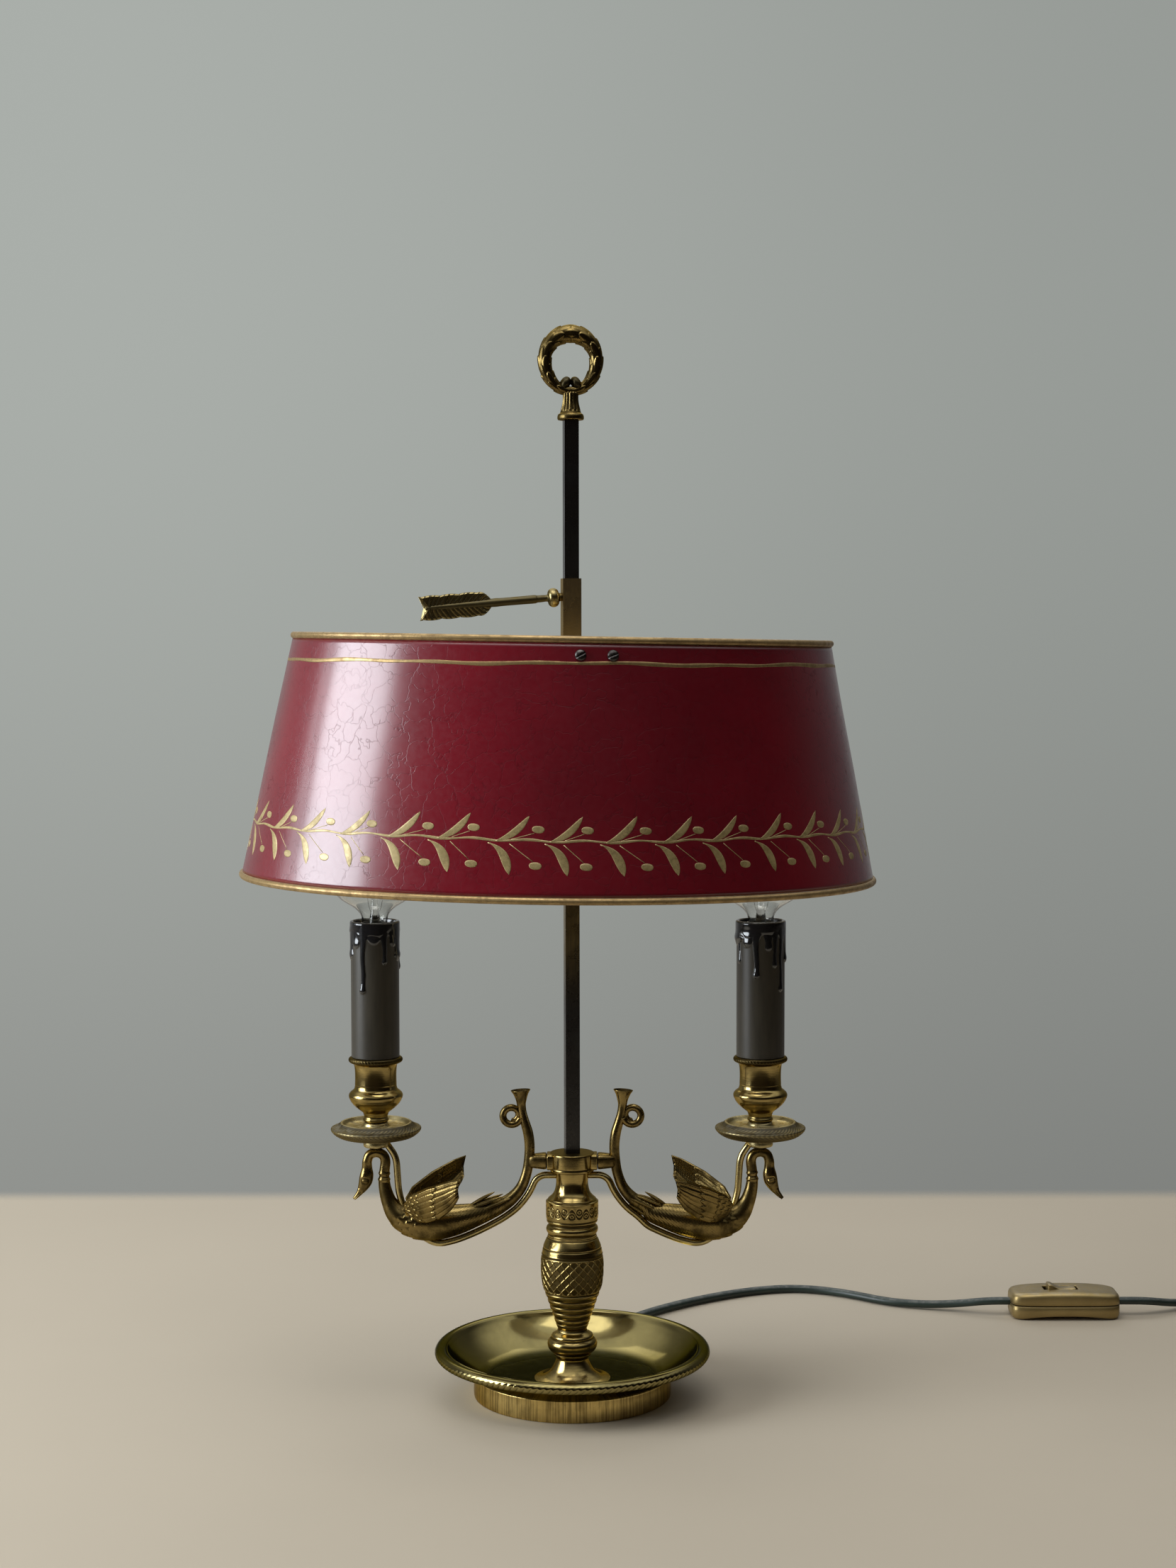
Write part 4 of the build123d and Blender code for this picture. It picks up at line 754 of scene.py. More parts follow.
def makeSwitchShells():
    # top: up the outer wall, over the crown, down the opening and back inside; base: the same from below
    setup = switchSetup
    seam, gap = setup["seam"], setup["gap"]
    walls = [(0.5, seam + gap), (0.05, seam + 0.5), (0.0, 10.0), (0.15, 12.6), (0.5, 13.9), (1.2, 14.9),
             (2.2, 15.3), (3.4, 15.45)]
    rows = [switchRing(*wall) for wall in walls]
    edge, hole = switchRing(3.4, setup["top"]), openingRing(setup["top"])
    rows += [edge + (hole - edge) * share for share in (0.25, 0.5, 0.75, 0.96, 1.0)]
    rows += [openingRing(15.0), openingRing(13.7), switchRing(2.4, 13.6), switchRing(1.9, 12.6),
             switchRing(1.9, seam + gap)]
    top = np.stack(rows)
    fall = setup["crown"] * (top[..., 0] / setup["halfLength"]) ** 2
    top[..., 2] -= fall * (top[..., 2] - seam) / (setup["top"] - seam)
    under = [(9.0, 0.02), (5.0, 0.02), (2.2, 0.02), (1.3, 0.25), (0.6, 0.9), (0.15, 2.4), (0.0, 4.5),
             (0.05, seam - 0.5), (0.5, seam - gap), (1.9, seam - gap), (1.9, 5.0), (2.4, 4.4), (9.0, 4.4)]
    base = capped(np.stack([switchRing(*row) for row in under]))
    rise = setup["arch"] * clamp(1 - (base[..., 0] / setup["archHalf"]) ** 2)
    base[..., 2] += rise * clamp(1 - base[..., 2] / (seam - 0.6))
    place = np.array([*setup["place"], 0.0])
    pieces = []
    for name, grid, closed, node in (("switchCover", top, True, "switch_top"),
                                     ("switchFoot", base, False, "switch_base")):
        shade, grids = gauss(grid[..., 2] - seam, 0.35), [(grid + place, closed)]
        pieces.append(buildPiece(name, grids, goldPlastic, (node,), [shade]))
    return pieces


def makeRocker():
    # a softened outline carried across the width, with a bore for its pin
    setup = switchSetup
    outline = np.array([(-8.0, 5.9), (-7.7, 0.2), (-3.0, -3.0), (3.0, -3.0), (7.7, 0.2), (8.0, 5.9),
                        (6.4, 5.9), (3.0, 4.9), (0.0, 4.5), (-3.0, 4.9), (-6.4, 6.3)])
    outline = soften(np.concatenate((outline, outline[:1])), 3)[:-1]
    away = unit(outline)
    rows = []
    for inset, across in ((0.7, -1.0), (0.25, -0.93), (0.0, -0.8), (0.0, 0.8), (0.25, 0.93), (0.7, 1.0)):
        rows.append(np.c_[outline - inset * away, np.full(len(outline), across * setup["rockerWidth"] / 2)])
    for across in (1.0, -1.0):
        rows.append(np.c_[1.15 * away, np.full(len(outline), across * setup["rockerWidth"] / 2)])
    rows = np.stack(rows)
    lean = np.radians(setup["rockerLean"])
    right = np.array([np.cos(lean), 0.0, -np.sin(lean)])
    over = np.array([np.sin(lean), 0.0, np.cos(lean)])
    pivot = np.array([setup["place"][0] + setup["rockerShift"], setup["place"][1], setup["pivotHeight"]])
    grid = pivot + rows[..., :1] * right + rows[..., 1:2] * over + rows[..., 2:] * (0, 1, 0)
    return buildPiece("rockerKey", [(grid, True)], goldPlastic, ("switch_rocker",),
                      body="rocker")


switchPieces = [*makeSwitchShells(), makeRocker()]
print("switch ready")

# cord: one lead from the foot through the switch to the coil and its plug
cordSetup = {
    "width": 5.2,
    "thickness": 4.6,
    "floorLine": 2.4,
    "coilPlace": (383.0, 146.0),
    # radius of each turn, and the layer that it lies in
    "coilRadii": (33.6, 28.4, 23.2, 23.2, 28.4, 23.4, 28.6, 33.8),
    "coilLayers": (0, 0, 0, 1, 1, 2, 2, 1),
    "coilStart": 135.6,   # degrees
    "turnsWound": 7.377,
    "pointsPerTurn": 16,
    "layerPitch": 5.2,
    "lastSwing": 3.0,     # the last turn swings out this far while it steps down
    "plugHeight": 6.85,
    "rings": 1300,
    "sides": 20,
    "waist": 0.12,        # groove between the two leads, as a share
    "length": 1.70,
    "tieAt": 250,         # degrees round the coil
    "tieReach": 28.5,
    "tieHeight": 7.85,
    "tieHalf": (8.25, 7.7),
    "tieCorner": 0.35,
}
low = cordSetup["floorLine"]
# the route's points on the way to the switch and from it to the coil
runToSwitch = [
    (10.14, 70.37, 6.2), (13.6, 92, 4.3), (23, 114, low), (42, 139.5, low), (69, 164, low), (100, 183.5, low),
    (128, 190, low), (154, 179, low), (176, 159.5, low), (196, 152.6, 2.7), (213, 148, 4.3), (229, 140.5, 8),
    (243.5, 140.5, 8),
]
runToCoil = [(299.5, 140.5, 8), (317, 140.5, 8), (333, 148, 4.6), (347, 157, low), (357, 165.5, low)]


def coilPoints():
    # turns beside and on each other: radius and height step from turn to turn over a sixth of a turn
    setup = cordSetup
    wound = np.arange(0.03, setup["turnsWound"], 1 / setup["pointsPerTurn"])
    whole = np.floor(wound).astype(int)
    ease = clamp((wound - whole) * 6)
    ease = ease * ease * (3 - 2 * ease)
    radii = np.array(setup["coilRadii"])
    layers = np.array(setup["coilLayers"], float)
    before = np.maximum(whole - 1, 0)
    radius = radii[before] + (radii[whole] - radii[before]) * ease
    layer = layers[before] + (layers[whole] - layers[before]) * ease
    radius = radius + setup["lastSwing"] * np.sin(np.pi * ease) * (whole == whole[-1])
    angle = np.radians(setup["coilStart"]) - tau * wound
    height = setup["floorLine"] + layer * setup["layerPitch"]
    x, y = setup["coilPlace"]
    return np.stack((x + radius * np.cos(angle), y + radius * np.sin(angle), height), 1)


def makeCord():
    # the route's spline, then a twin-lobed section carried along it
    setup = cordSetup
    endX, plugHeight = setup["coilPlace"][0] + setup["coilRadii"][-1], setup["plugHeight"]
    runToPlug = [(endX, 146, 7.2), (endX, 138, 6.9), (endX, 130, plugHeight), (endX, 121, plugHeight)]
    route = np.concatenate((runToSwitch, runToCoil, coilPoints(), runToPlug))
    line = curvePoints(splineCurve("cordRoute", route))
    path = evenly(line, setup["rings"])
    tangent = unit(np.gradient(path, axis=0))
    sideways = unit(np.cross(tangent, upright))
    tube = tubeGrid(path, setup["width"] / 2, setup["thickness"] / 2, sideways, setup["sides"])
    angle = circle(setup["sides"])
    waist = 1 - setup["waist"] * np.abs(np.sin(angle)) ** 6
    tube = path[:, None] + (tube - path[:, None]) * waist[None, :, None]
    cord = buildPiece("lampCord", [(capped(tube), False)], flexGreen,
                      ("cord_lamp", "cord_tail", "cord_coil"))
    return cord, line


def makeTie():
    # a flat strap carried round the coil's section at one place
    setup = cordSetup
    spot = np.radians(setup["tieAt"])
    outwardDir = np.array([np.cos(spot), np.sin(spot), 0.0])
    alongDir = np.array([-np.sin(spot), np.cos(spot), 0.0])
    angle = circle(64)
    centre = np.array([*setup["coilPlace"], 0.0]) + setup["tieReach"] * outwardDir
    rings, corner = [], setup["tieCorner"]
    wide, tall = setup["tieHalf"]
    for offset, lift in ((-2.4, 0.0), (-2.2, 0.45), (2.2, 0.45), (2.4, 0.0), (2.2, -0.1), (-2.2, -0.1)):
        across = (wide + lift) * squared(np.cos(angle), corner)
        height = setup["tieHeight"] + (tall + 0.4 * lift) * squared(np.sin(angle), corner)
        middle = centre + offset * alongDir
        rings.append(middle + across[:, None] * outwardDir + height[:, None] * upright)
    return buildPiece("coilTie", [(np.stack(rings), True)], tieBlack)


lampCord, cordLine = makeCord()
coilTie = makeTie()
print("cord ready")

# base: foot ring and dish
baseSetup = {
    "footRadius": 49.1,
    "lipRadius": 62.3,
    "rimCentre": (65.2, 22.0),
    "rimHalf": (3.1, 2.75),
    "fluteCount": 132,
    "columnsPerFlute": 6,
    "fluteDepth": 0.42,
    "fluteSlant": -2.2,
    "fluteMiddle": -28,   # degrees round the rim's section, like the next two
    "fluteSpread": 44,
    "fluteEnd": 38,
}


def makeFootRing():
    # a plain band with softened edges, closed round its wall
    radius = baseSetup["footRadius"]
    outline = [(radius - 2.5, 0.0), (radius - 0.5, 0.0), (radius, 0.5), (radius, 6.0), (radius - 0.15, 9.0),
               (radius, 11.5), (radius - 2.5, 10.4), (radius - 2.5, 6.0), (radius - 2.5, 0.0)]
    profile = soften(outline, 2)[:-1]
    return buildPiece("footBand", [(turnedGrid(profile, 200), True)], footBrass, ("foot_ring",))


def makeDish():
    # a turned dish; the rim's outer side carries slanting flutes: radius + depth * |sin| of angle and height
    setup = baseSetup
    lip = setup["lipRadius"]
    centreR, centreZ = setup["rimCentre"]
    top = [(2.6, 8.0), (16, 8.0), (30, 8.1), (38, 8.7), (44.5, 10.6), (50.5, 13.6), (56.5, 17.9),
           (60.6, 22.0), (lip - 0.1, 24.1)]
    turn = np.linspace(np.radians(150), np.radians(-120), 46)
    wide, tall = setup["rimHalf"]
    rim = np.stack((centreR + wide * np.cos(turn), centreZ + tall * np.sin(turn)), 1)
    under = [(62.0, 19.9), (55.6, 14.9), (49.8, 11.0), (43.6, 8.3), (36.6, 6.3), (2.6, 6.2), (2.6, 8.0)]
    floor = soften(top, 3)
    profile = np.concatenate((floor, rim, soften(under, 2)[:-1]))
    columns = setup["fluteCount"] * setup["columnsPerFlute"]
    grid = turnedGrid(profile, columns)
    angle = circle(columns)
    rimRows = slice(len(floor), len(floor) + len(rim))
    middle, spread, end = (np.radians(setup[key]) for key in ("fluteMiddle", "fluteSpread", "fluteEnd"))
    onRim, slant = np.zeros(len(profile)), np.zeros(len(profile))
    onRim[rimRows] = gauss(turn - middle, spread) * (turn < end)
    slant[rimRows] = setup["fluteSlant"] * turn / np.pi
    flute = np.abs(np.sin(0.5 * setup["fluteCount"] * angle[None, :] + np.pi * slant[:, None])) - 0.65
    push = setup["fluteDepth"] * onRim[:, None] * flute
    grid = pushed(grid, push, angle)
    hollow = onRim[:, None] * clamp(-flute * 1.6)
    radius, height = profile.T
    seam = gauss(radius - lip - 0.4, 0.5) * 0.55 * (height > 20) + gauss(radius - 63.2, 1.2) * (height < 20.5)
    upper = height > np.interp(radius, [0, 37, 44, 50, 56], [7.5, 7.5, 9.6, 12.6, 17.0])
    floorTone = 0.97 * clamp((51.0 - radius) / 12.0) * clamp((radius - 12.0) / 3.0) * upper
    edgeTone = 0.45 * gauss(radius - 61.0, 1.4) * (height > 20)
    outside = 0.5 * (onRim < 0.02) * (radius > 62.6)
    shade = np.maximum(hollow, np.max((seam, floorTone, edgeTone, outside), axis=0)[:, None])
    return buildPiece("dish", [(grid, True)], dishBrass, ("base_dish",), [shade])


makeFootRing()
makeDish()
print("base ready")

# stem: foot, knurled vase and banded collar under the hub
stemSetup = {
    "bore": 5.0,
    "columns": 220,
    "vaseColumns": 420,
    "ribFrom": 35.6,
    "ribTo": 51.9,
    "ribPitch": 3.25,
    "knurlFrom": 52.9,
    "knurlTo": 69.4,
    "knurlCount": 21,
    "knurlRise": 4.7,
    "knurlDepth": 0.42,
    "collarColumns": 480,
    "bandFrom": 88.9,
    "bandTo": 96.9,
    "scrolls": 11,
    "scrollRise": 2.0,
    "scrollWide": 3.6,
    "scrollDepth": 0.22,
}


def closedProfile(points):
    # the turned outline, closed down its bore
    bore = stemSetup["bore"]
    return np.concatenate(([(bore, points[0, 1])], points, [(bore, points[-1, 1])]))


def makeStemFoot():
    # the outline turned about the axis; bells over the height darken its grooves and the bulge between them
    outline = soften([(19.0, 8.0), (17.2, 8.3), (14.6, 9.0), (11.2, 11.4), (9.1, 14.8), (7.7, 17.9),
                      (7.9, 18.9), (9.2, 19.6), (9.4, 20.4), (9.2, 20.9), (10.6, 21.6), (12.0, 23.2),
                      (12.5, 25.2), (12.1, 27.0), (11.0, 28.1), (10.3, 28.3), (10.6, 28.9), (10.2, 30.2),
                      (8.6, 31.0), (7.6, 31.6), (7.1, 32.9)], 2)
    profile = closedProfile(outline)
    z = profile[:, 1]
    lines = sum(gauss(z - place, width) for place, width in ((20.9, 0.5), (28.3, 0.45), (32.6, 0.7)))
    shade = np.maximum(lines, 0.55 * gauss(z - 25.0, 2.6))[:, None] * np.ones(stemSetup["columns"])
    grid = turnedGrid(profile, stemSetup["columns"])
    return buildPiece("stemFoot", [(grid, True)], turnedBrass, ("stem_foot",), [shade])


def makeVase():
    # ridges of the knurl: the higher of two slanting saw-tooth families, narrowed to thin lines
    setup = stemSetup
    columns = setup["vaseColumns"]
    points = smoothRows([(7.1, 32.9), (7.9, 34.7), (8.6, 36.9), (9.4, 39.4), (10.4, 42.2), (11.5, 45.4),
                         (12.6, 48.8), (13.9, 52.2), (14.8, 55.2), (15.3, 59.0), (15.55, 62.6), (15.5, 67.0),
                         (15.1, 70.8), (14.2, 75.1), (12.2, 79.7)], 190)
    height = points[:, 1]
    ribs = np.sqrt(np.abs(np.sin(np.pi * (height - setup["ribFrom"]) / setup["ribPitch"])))
    inRibs = (height > setup["ribFrom"]) & (height < setup["ribTo"])
    points[:, 0] += np.where(inRibs, 0.75 * ribs - 0.62, 0.0)
    grooves = [(51.9, 0.35), (70.1, 0.28), (70.9, -0.12), (73.9, 0.25), (78.9, 0.4)]
    for place, depth in grooves:
        points[:, 0] -= depth * gauss(height - place, 0.32)
    profile = closedProfile(points)
    grid = turnedGrid(profile, columns)
    angle = circle(columns)
    z = profile[:, 1, None]
    share = setup["knurlCount"] * angle[None, :] / tau
    rising, falling = (np.abs(2 * ((share + way * z / setup["knurlRise"]) % 1) - 1) for way in (1, -1))
    ridge = clamp((np.maximum(rising, falling) - 0.78) / 0.18)
    zone = ((z > setup["knurlFrom"]) & (z < setup["knurlTo"])).astype(float)
    grid = pushed(grid, zone * setup["knurlDepth"] * (ridge - 0.75), angle)
    shade = zone * (0.80 - 0.62 * ridge)
    lines = sum(gauss(profile[:, 1] - place, 0.4) for place, _ in grooves)
    dark = np.zeros(len(profile))
    dark[1:-1] = np.where(inRibs, 0.95 * (1 - ribs) + 0.18, 0.0)
    shade = np.maximum(shade, np.maximum(dark, clamp(lines))[:, None])
    return buildPiece("knurledVase", [(grid, True)], turnedBrass, ("stem_vase",), [shade])


def makeCollar():
    # ring and band; the band's scroll: a wave round the collar with a curl in each bend
    setup = stemSetup
    columns = setup["collarColumns"]
    outline = soften([(12.0, 79.7), (12.1, 80.5), (11.7, 80.9), (12.4, 81.4), (13.0, 83.0), (12.6, 84.6),
                      (11.6, 85.2), (11.5, 86.4), (12.6, 86.8), (12.7, 87.7), (12.4, 88.1), (13.0, 88.5),
                      (13.0, 97.0), (13.0, 97.2), (12.2, 97.6), (11.8, 97.9), (12.1, 98.3), (10.9, 99.2),
                      (9.5, 100.6), (8.5, 102.6), (7.9, 105.6), (7.9, 108.4), (8.3, 110.6), (8.7, 112.0)], 2)
    profile = closedProfile(evenly(outline, 190))
    grid = turnedGrid(profile, columns)
    angle = circle(columns)
    z = profile[:, 1, None]
    share = setup["scrolls"] * angle[None, :] / tau
    middle = 0.5 * (setup["bandFrom"] + setup["bandTo"])
    wave = gauss(z - middle - setup["scrollRise"] * np.sin(tau * share), 0.45)
    side = np.where((share % 1) < 0.5, 1.0, -1.0)
    local = ((share * 2) % 1 - 0.5) * setup["scrollWide"]
    reach = np.hypot(local, (z - middle + 1.1 * side))
    curl = gauss(reach - 1.25, 0.32) + gauss(reach, 0.45)
    inBand = ((z > setup["bandFrom"]) & (z < setup["bandTo"])).astype(float)
    cut = inBand * clamp(np.maximum(wave, curl))
    grid = pushed(grid, -setup["scrollDepth"] * cut, angle)
    lines = sum(gauss(profile[:, 1] - place, width) for place, width in
                ((80.9, 0.35), (85.8, 0.8), (88.1, 0.35), (97.9, 0.3), (111.9, 0.4)))
    shade = np.maximum(0.75 * cut + 0.18 * inBand, clamp(lines)[:, None])
    return buildPiece("bandedCollar", [(grid, True)], turnedBrass, ("stem_collar",), [shade])


def makeHub():
    # a short drum whose flat top is darkened as painted shade, and a square lug with rounded edges on each
    # side
    outline = soften([(0.2, 112.0), (10.6, 112.0), (11.1, 112.5), (11.15, 113.6), (10.9, 114.0),
                      (11.1, 114.4), (11.1, 120.4), (10.9, 121.2), (10.2, 121.35), (0.2, 121.35)], 2)
    grid = turnedGrid(evenly(outline, 120), 200)
    shade = clamp(gauss(grid[..., 2] - 114.0, 0.4) * (np.hypot(grid[..., 0], grid[..., 1]) > 9))
    # painted shade: the whole flat top is darkened
    shade = np.maximum(shade, 0.85 * (grid[..., 2] > 121.2))
    grids, shades = [(capped(grid), False)], [endsTwice(shade)]
    for side in (-1, 1):
        reach = np.array([7.0, 11.9, 12.25, 12.45, 12.55]) * side
        path = np.stack((reach, 0 * reach, lugHeight + 0 * reach), 1)
        size = np.array([3.9, 3.9, 3.85, 3.6, 3.3])
        lug = capped(tubeGrid(path, 1.5 * size, size, (0, 1, 0), 64, 7.0))
        grids.append((lug, False))
        shades.append(np.repeat(np.array([0, 0, 0.0, 0.1, 0.6, 0.9, 1.0])[:, None], 64, 1))
    return buildPiece("hub", grids, turnedBrass, ("arm_hub",), shades)


makeStemFoot()
makeVase()
makeCollar()
makeHub()
print("stem ready")

# finial: fluted socket, wreath ring and its leafy clasp
finialSetup = {
    "turn": rodTurn,
    "ringCentre": 510.35,
    "pathWidth": 12.7,
    "pathHigh": 12.8,
    "pathLow": 14.85,
    "flutes": 14,
    "socketColumns": 168,
    "ringRows": 260,
    "ringColumns": 72,
}


def turnAbout(points, degrees, centre=(0.0, 0.0)):
    # points turned about an upright axis
    a = np.radians(degrees)
    x, y = points[..., 0] - centre[0], points[..., 1] - centre[1]
    return np.stack((centre[0] + x * np.cos(a) - y * np.sin(a), centre[1] + x * np.sin(a) + y * np.cos(a),
                     points[..., 2]), -1)


def leafScales(along, around, count, overlap=0.32):
    # overlapping pointed leaves in brick order: each rises towards its tip and falls off to its edges
    height = np.zeros(np.broadcast(along, around).shape)
    for shift in (0.0, 0.5):
        u = (along + shift) % 1
        v = 2 * ((around * count + shift) % 1) - 1
        width = np.clip(np.sqrt(clamp(1 - u)) * (0.75 + 0.5 * u), 0.05, 1)
        leaf = (0.25 + 0.75 * u) * clamp(1 - (v / width) ** 2) ** 0.5
        leaf -= 0.16 * gauss(v, 0.10) * (leaf > 0.05)
        height = np.maximum(height, leaf * (1 - overlap * (shift > 0)))
    return height


def makeFinial():
    # socket with flutes up its neck, ring of overlapping leaves that climb both sides, two lobes of a clasp
    setup = finialSetup
    outline = soften([(0.3, 481.3), (6.0, 481.3), (6.5, 481.9), (6.5, 483.2), (6.1, 484.3), (5.2, 484.8),
                      (5.0, 485.4), (4.6, 486.8), (3.9, 489.6), (3.7, 492.5), (3.9, 495.2), (0.3, 495.6)], 2)
    profile = evenly(outline, 110)
    grid = turnedGrid(profile, setup["socketColumns"])
    angle = circle(setup["socketColumns"])
    zone = clamp((profile[:, 1] - 485.6) / 0.8)[:, None] * (profile[:, 0] > 2.5)[:, None]
    flute = np.abs(np.sin(0.5 * setup["flutes"] * angle))[None, :]
    grid = pushed(grid, zone * 0.45 * (flute - 0.7), angle)
    shade = np.maximum(zone * (1 - flute) * 1.1, gauss(profile[:, 1] - 485.2, 0.35)[:, None])
    shade = endsTwice(shade)
    buildPiece("finialSocket", [(capped(grid), False)], castBrass, ("finial_socket",), [shade])

    rows, columns = setup["ringRows"], setup["ringColumns"]
    t = circle(rows)
    high = np.where(np.cos(t) < 0, setup["pathHigh"], setup["pathLow"])
    path = np.stack((setup["pathWidth"] * np.sin(t), 0 * t, setup["ringCentre"] - high * np.cos(t)), 1)
    radius = np.where(np.cos(t) < 0, 3.45 + 1.1 * np.cos(t) ** 2, 3.45 - 0.9 * np.cos(t) ** 2)
    tangent = unit(np.roll(path, -1, 0) - np.roll(path, 1, 0))
    across = np.array([0.0, 1.0, 0.0])
    upward = np.cross(tangent, across)
    around = circle(columns)
    climb = np.where(t < np.pi, t, tau - t) / np.pi
    leaves = leafScales(climb[:, None] * 5.5, (around / tau)[None, :] + 0.125, 4)
    span = radius[:, None] + 0.75 * (leaves - 0.62)
    ring = path[:, None] + span[..., None] * (
        np.cos(around)[None, :, None] * across + np.sin(around)[None, :, None] * upward[:, None])
    shade = clamp(0.95 - 1.5 * leaves)
    buildPiece("wreathRing", [(turnAbout(ring, setup["turn"]), True)], castBrass, ("finial_ring",),
               [shade])

    grids, shades = [], []
    for side in (-1, 1):
        u = np.linspace(0, np.pi, 22)[:, None]
        v = circle(40)[None, :]
        veins = 1 - 0.10 * np.abs(np.sin(3 * v)) ** 0.5
        x = side * (2.75 + 3.0 * np.sin(u) * np.cos(v) * veins)
        z = 500.0 + 3.0 * np.cos(u) - 0.10 * (x * x) ** 0.9
        y = 4.3 * np.sin(u) * np.sin(v) * veins
        lobe = turnAbout(np.stack((x, y, z), -1), setup["turn"])
        grids.append((lobe, False))
        shades.append(np.full(x.shape, 0.95))
    buildPiece("leafClasp", grids, arrowBronze, ("ring_clasp",), shades)


makeFinial()
print("finial ready")

# swan arms: one casting each, with curl, leaf tips and feathered wings
armSetup = {
    "reach": {"left": 97.0, "right": 93.2},
    "rows": 520,
    "columns": 72,
    "curlPlace": (30.0, 22.6),
    "curlRadius": 3.95,
    "curlTube": 1.62,
    "hatchPitch": 1.55,
    "scalePitch": 4.6,
    "scalesRound": 9,
    "curlFrom": -168,     # degrees, like the next one
    "curlTurn": 440,
    "curlPoints": 120,
}
# outward from the stem for the arm, inward from the candle for the swan; height from the lug; half
# height and half width
armRows = [
    (25.4, 35.4, 4.9, 4.2), (25.25, 33.2, 3.6, 3.4), (25.1, 30.6, 2.7, 2.7), (25.0, 28.0, 2.2, 2.2),
    (24.4, 23.8, 2.1, 2.1), (23.2, 19.2, 2.3, 2.3), (21.7, 13.8, 2.5, 2.5), (21.0, 7.8, 2.5, 2.5),
    (21.3, 1.0, 2.5, 2.5), (22.6, -6.5, 2.5, 2.5), (25.4, -13.5, 2.7, 2.7), (30.2, -19.0, 3.2, 3.2),
    (36.5, -23.0, 3.9, 3.7),
]
swanRows = [
    (52.9, -26.0, 5.0, 4.6), (45.5, -28.0, 6.5, 6.0), (37.5, -29.8, 7.9, 7.3), (29.0, -30.8, 8.8, 8.2),
    (21.0, -30.7, 8.7, 8.2), (14.2, -29.0, 7.2, 6.8), (9.4, -25.4, 5.3, 5.1), (6.4, -20.6, 3.9, 3.8),
    (4.7, -15.6, 3.3, 3.2), (3.9, -10.6, 2.9, 2.8), (4.0, -5.4, 2.6, 2.5), (4.5, 0.0, 2.5, 2.4),
    (3.2, 3.1, 2.45, 2.4), (0.0, 4.3, 2.4, 2.4), (-3.2, 3.1, 2.4, 2.4), (-4.5, 0.0, 2.4, 2.4),
    (-4.6, -3.4, 2.6, 2.4), (-4.75, -6.6, 3.3, 2.9), (-5.4, -10.0, 3.35, 2.95), (-6.8, -13.2, 2.5, 2.1),
    (-8.4, -15.8, 1.55, 1.5), (-9.8, -17.5, 1.15, 1.35), (-11.2, -18.9, 0.75, 0.95),
]
# leaf tips where the tail meets the left arm: root and tip as outward, height; places beside; half width
leafTips = [
    (50.0, -21.9, 38.2, -15.9, (0.0,), 1.5), (48.5, -22.4, 34.2, -17.6, (2.3, -2.3), 1.5),
    (45.5, -24.2, 30.4, -18.4, (2.9, -2.9), 1.4), (43.0, -28.8, 29.8, -21.6, (1.7, -1.7), 1.3),
]


def armRoute(reach):
    # all stations as (outward, height, half height, half width), smoothed and evenly spaced
    rows = armRows + [(reach - inward, height, a, b) for inward, height, a, b in swanRows]
    return smoothRows(rows, armSetup["rows"])


def alongArm(route, outward, height):
    # the row of the route nearest to a place beside the arm
    return int(np.argmin(np.hypot(route[:, 0] - outward, route[:, 1] - height)))


def leafTongue(root, tip, lift, width, thickness, sideTilt, count=(16, 14)):
    # a pointed tongue from root to tip: its middle bows up by lift, its sides follow a pointed oval
    u = np.linspace(0, 1, count[0])[:, None]
    angle = circle(count[1])[None, :]
    root, tip = np.asarray(root, float), np.asarray(tip, float)
    along = unit(tip - root)
    sideways = unit(np.cross(along, upright) + sideTilt * upright)
    upward = np.cross(sideways, along)
    middle = root + u * (tip - root)
    half = width * np.sin(np.pi * clamp(u * 0.86 + 0.14)) ** 0.8
    ridge = 1 - 0.35 * np.abs(np.cos(angle)) ** 3
    return (middle + lift * np.sin(np.pi * u * 0.5) ** 2 * upward)[:, None, :] + (
        half * np.cos(angle))[..., None] * sideways + (
        (thickness * (half / width + 0.15) * ridge * np.sin(angle)))[..., None] * upward


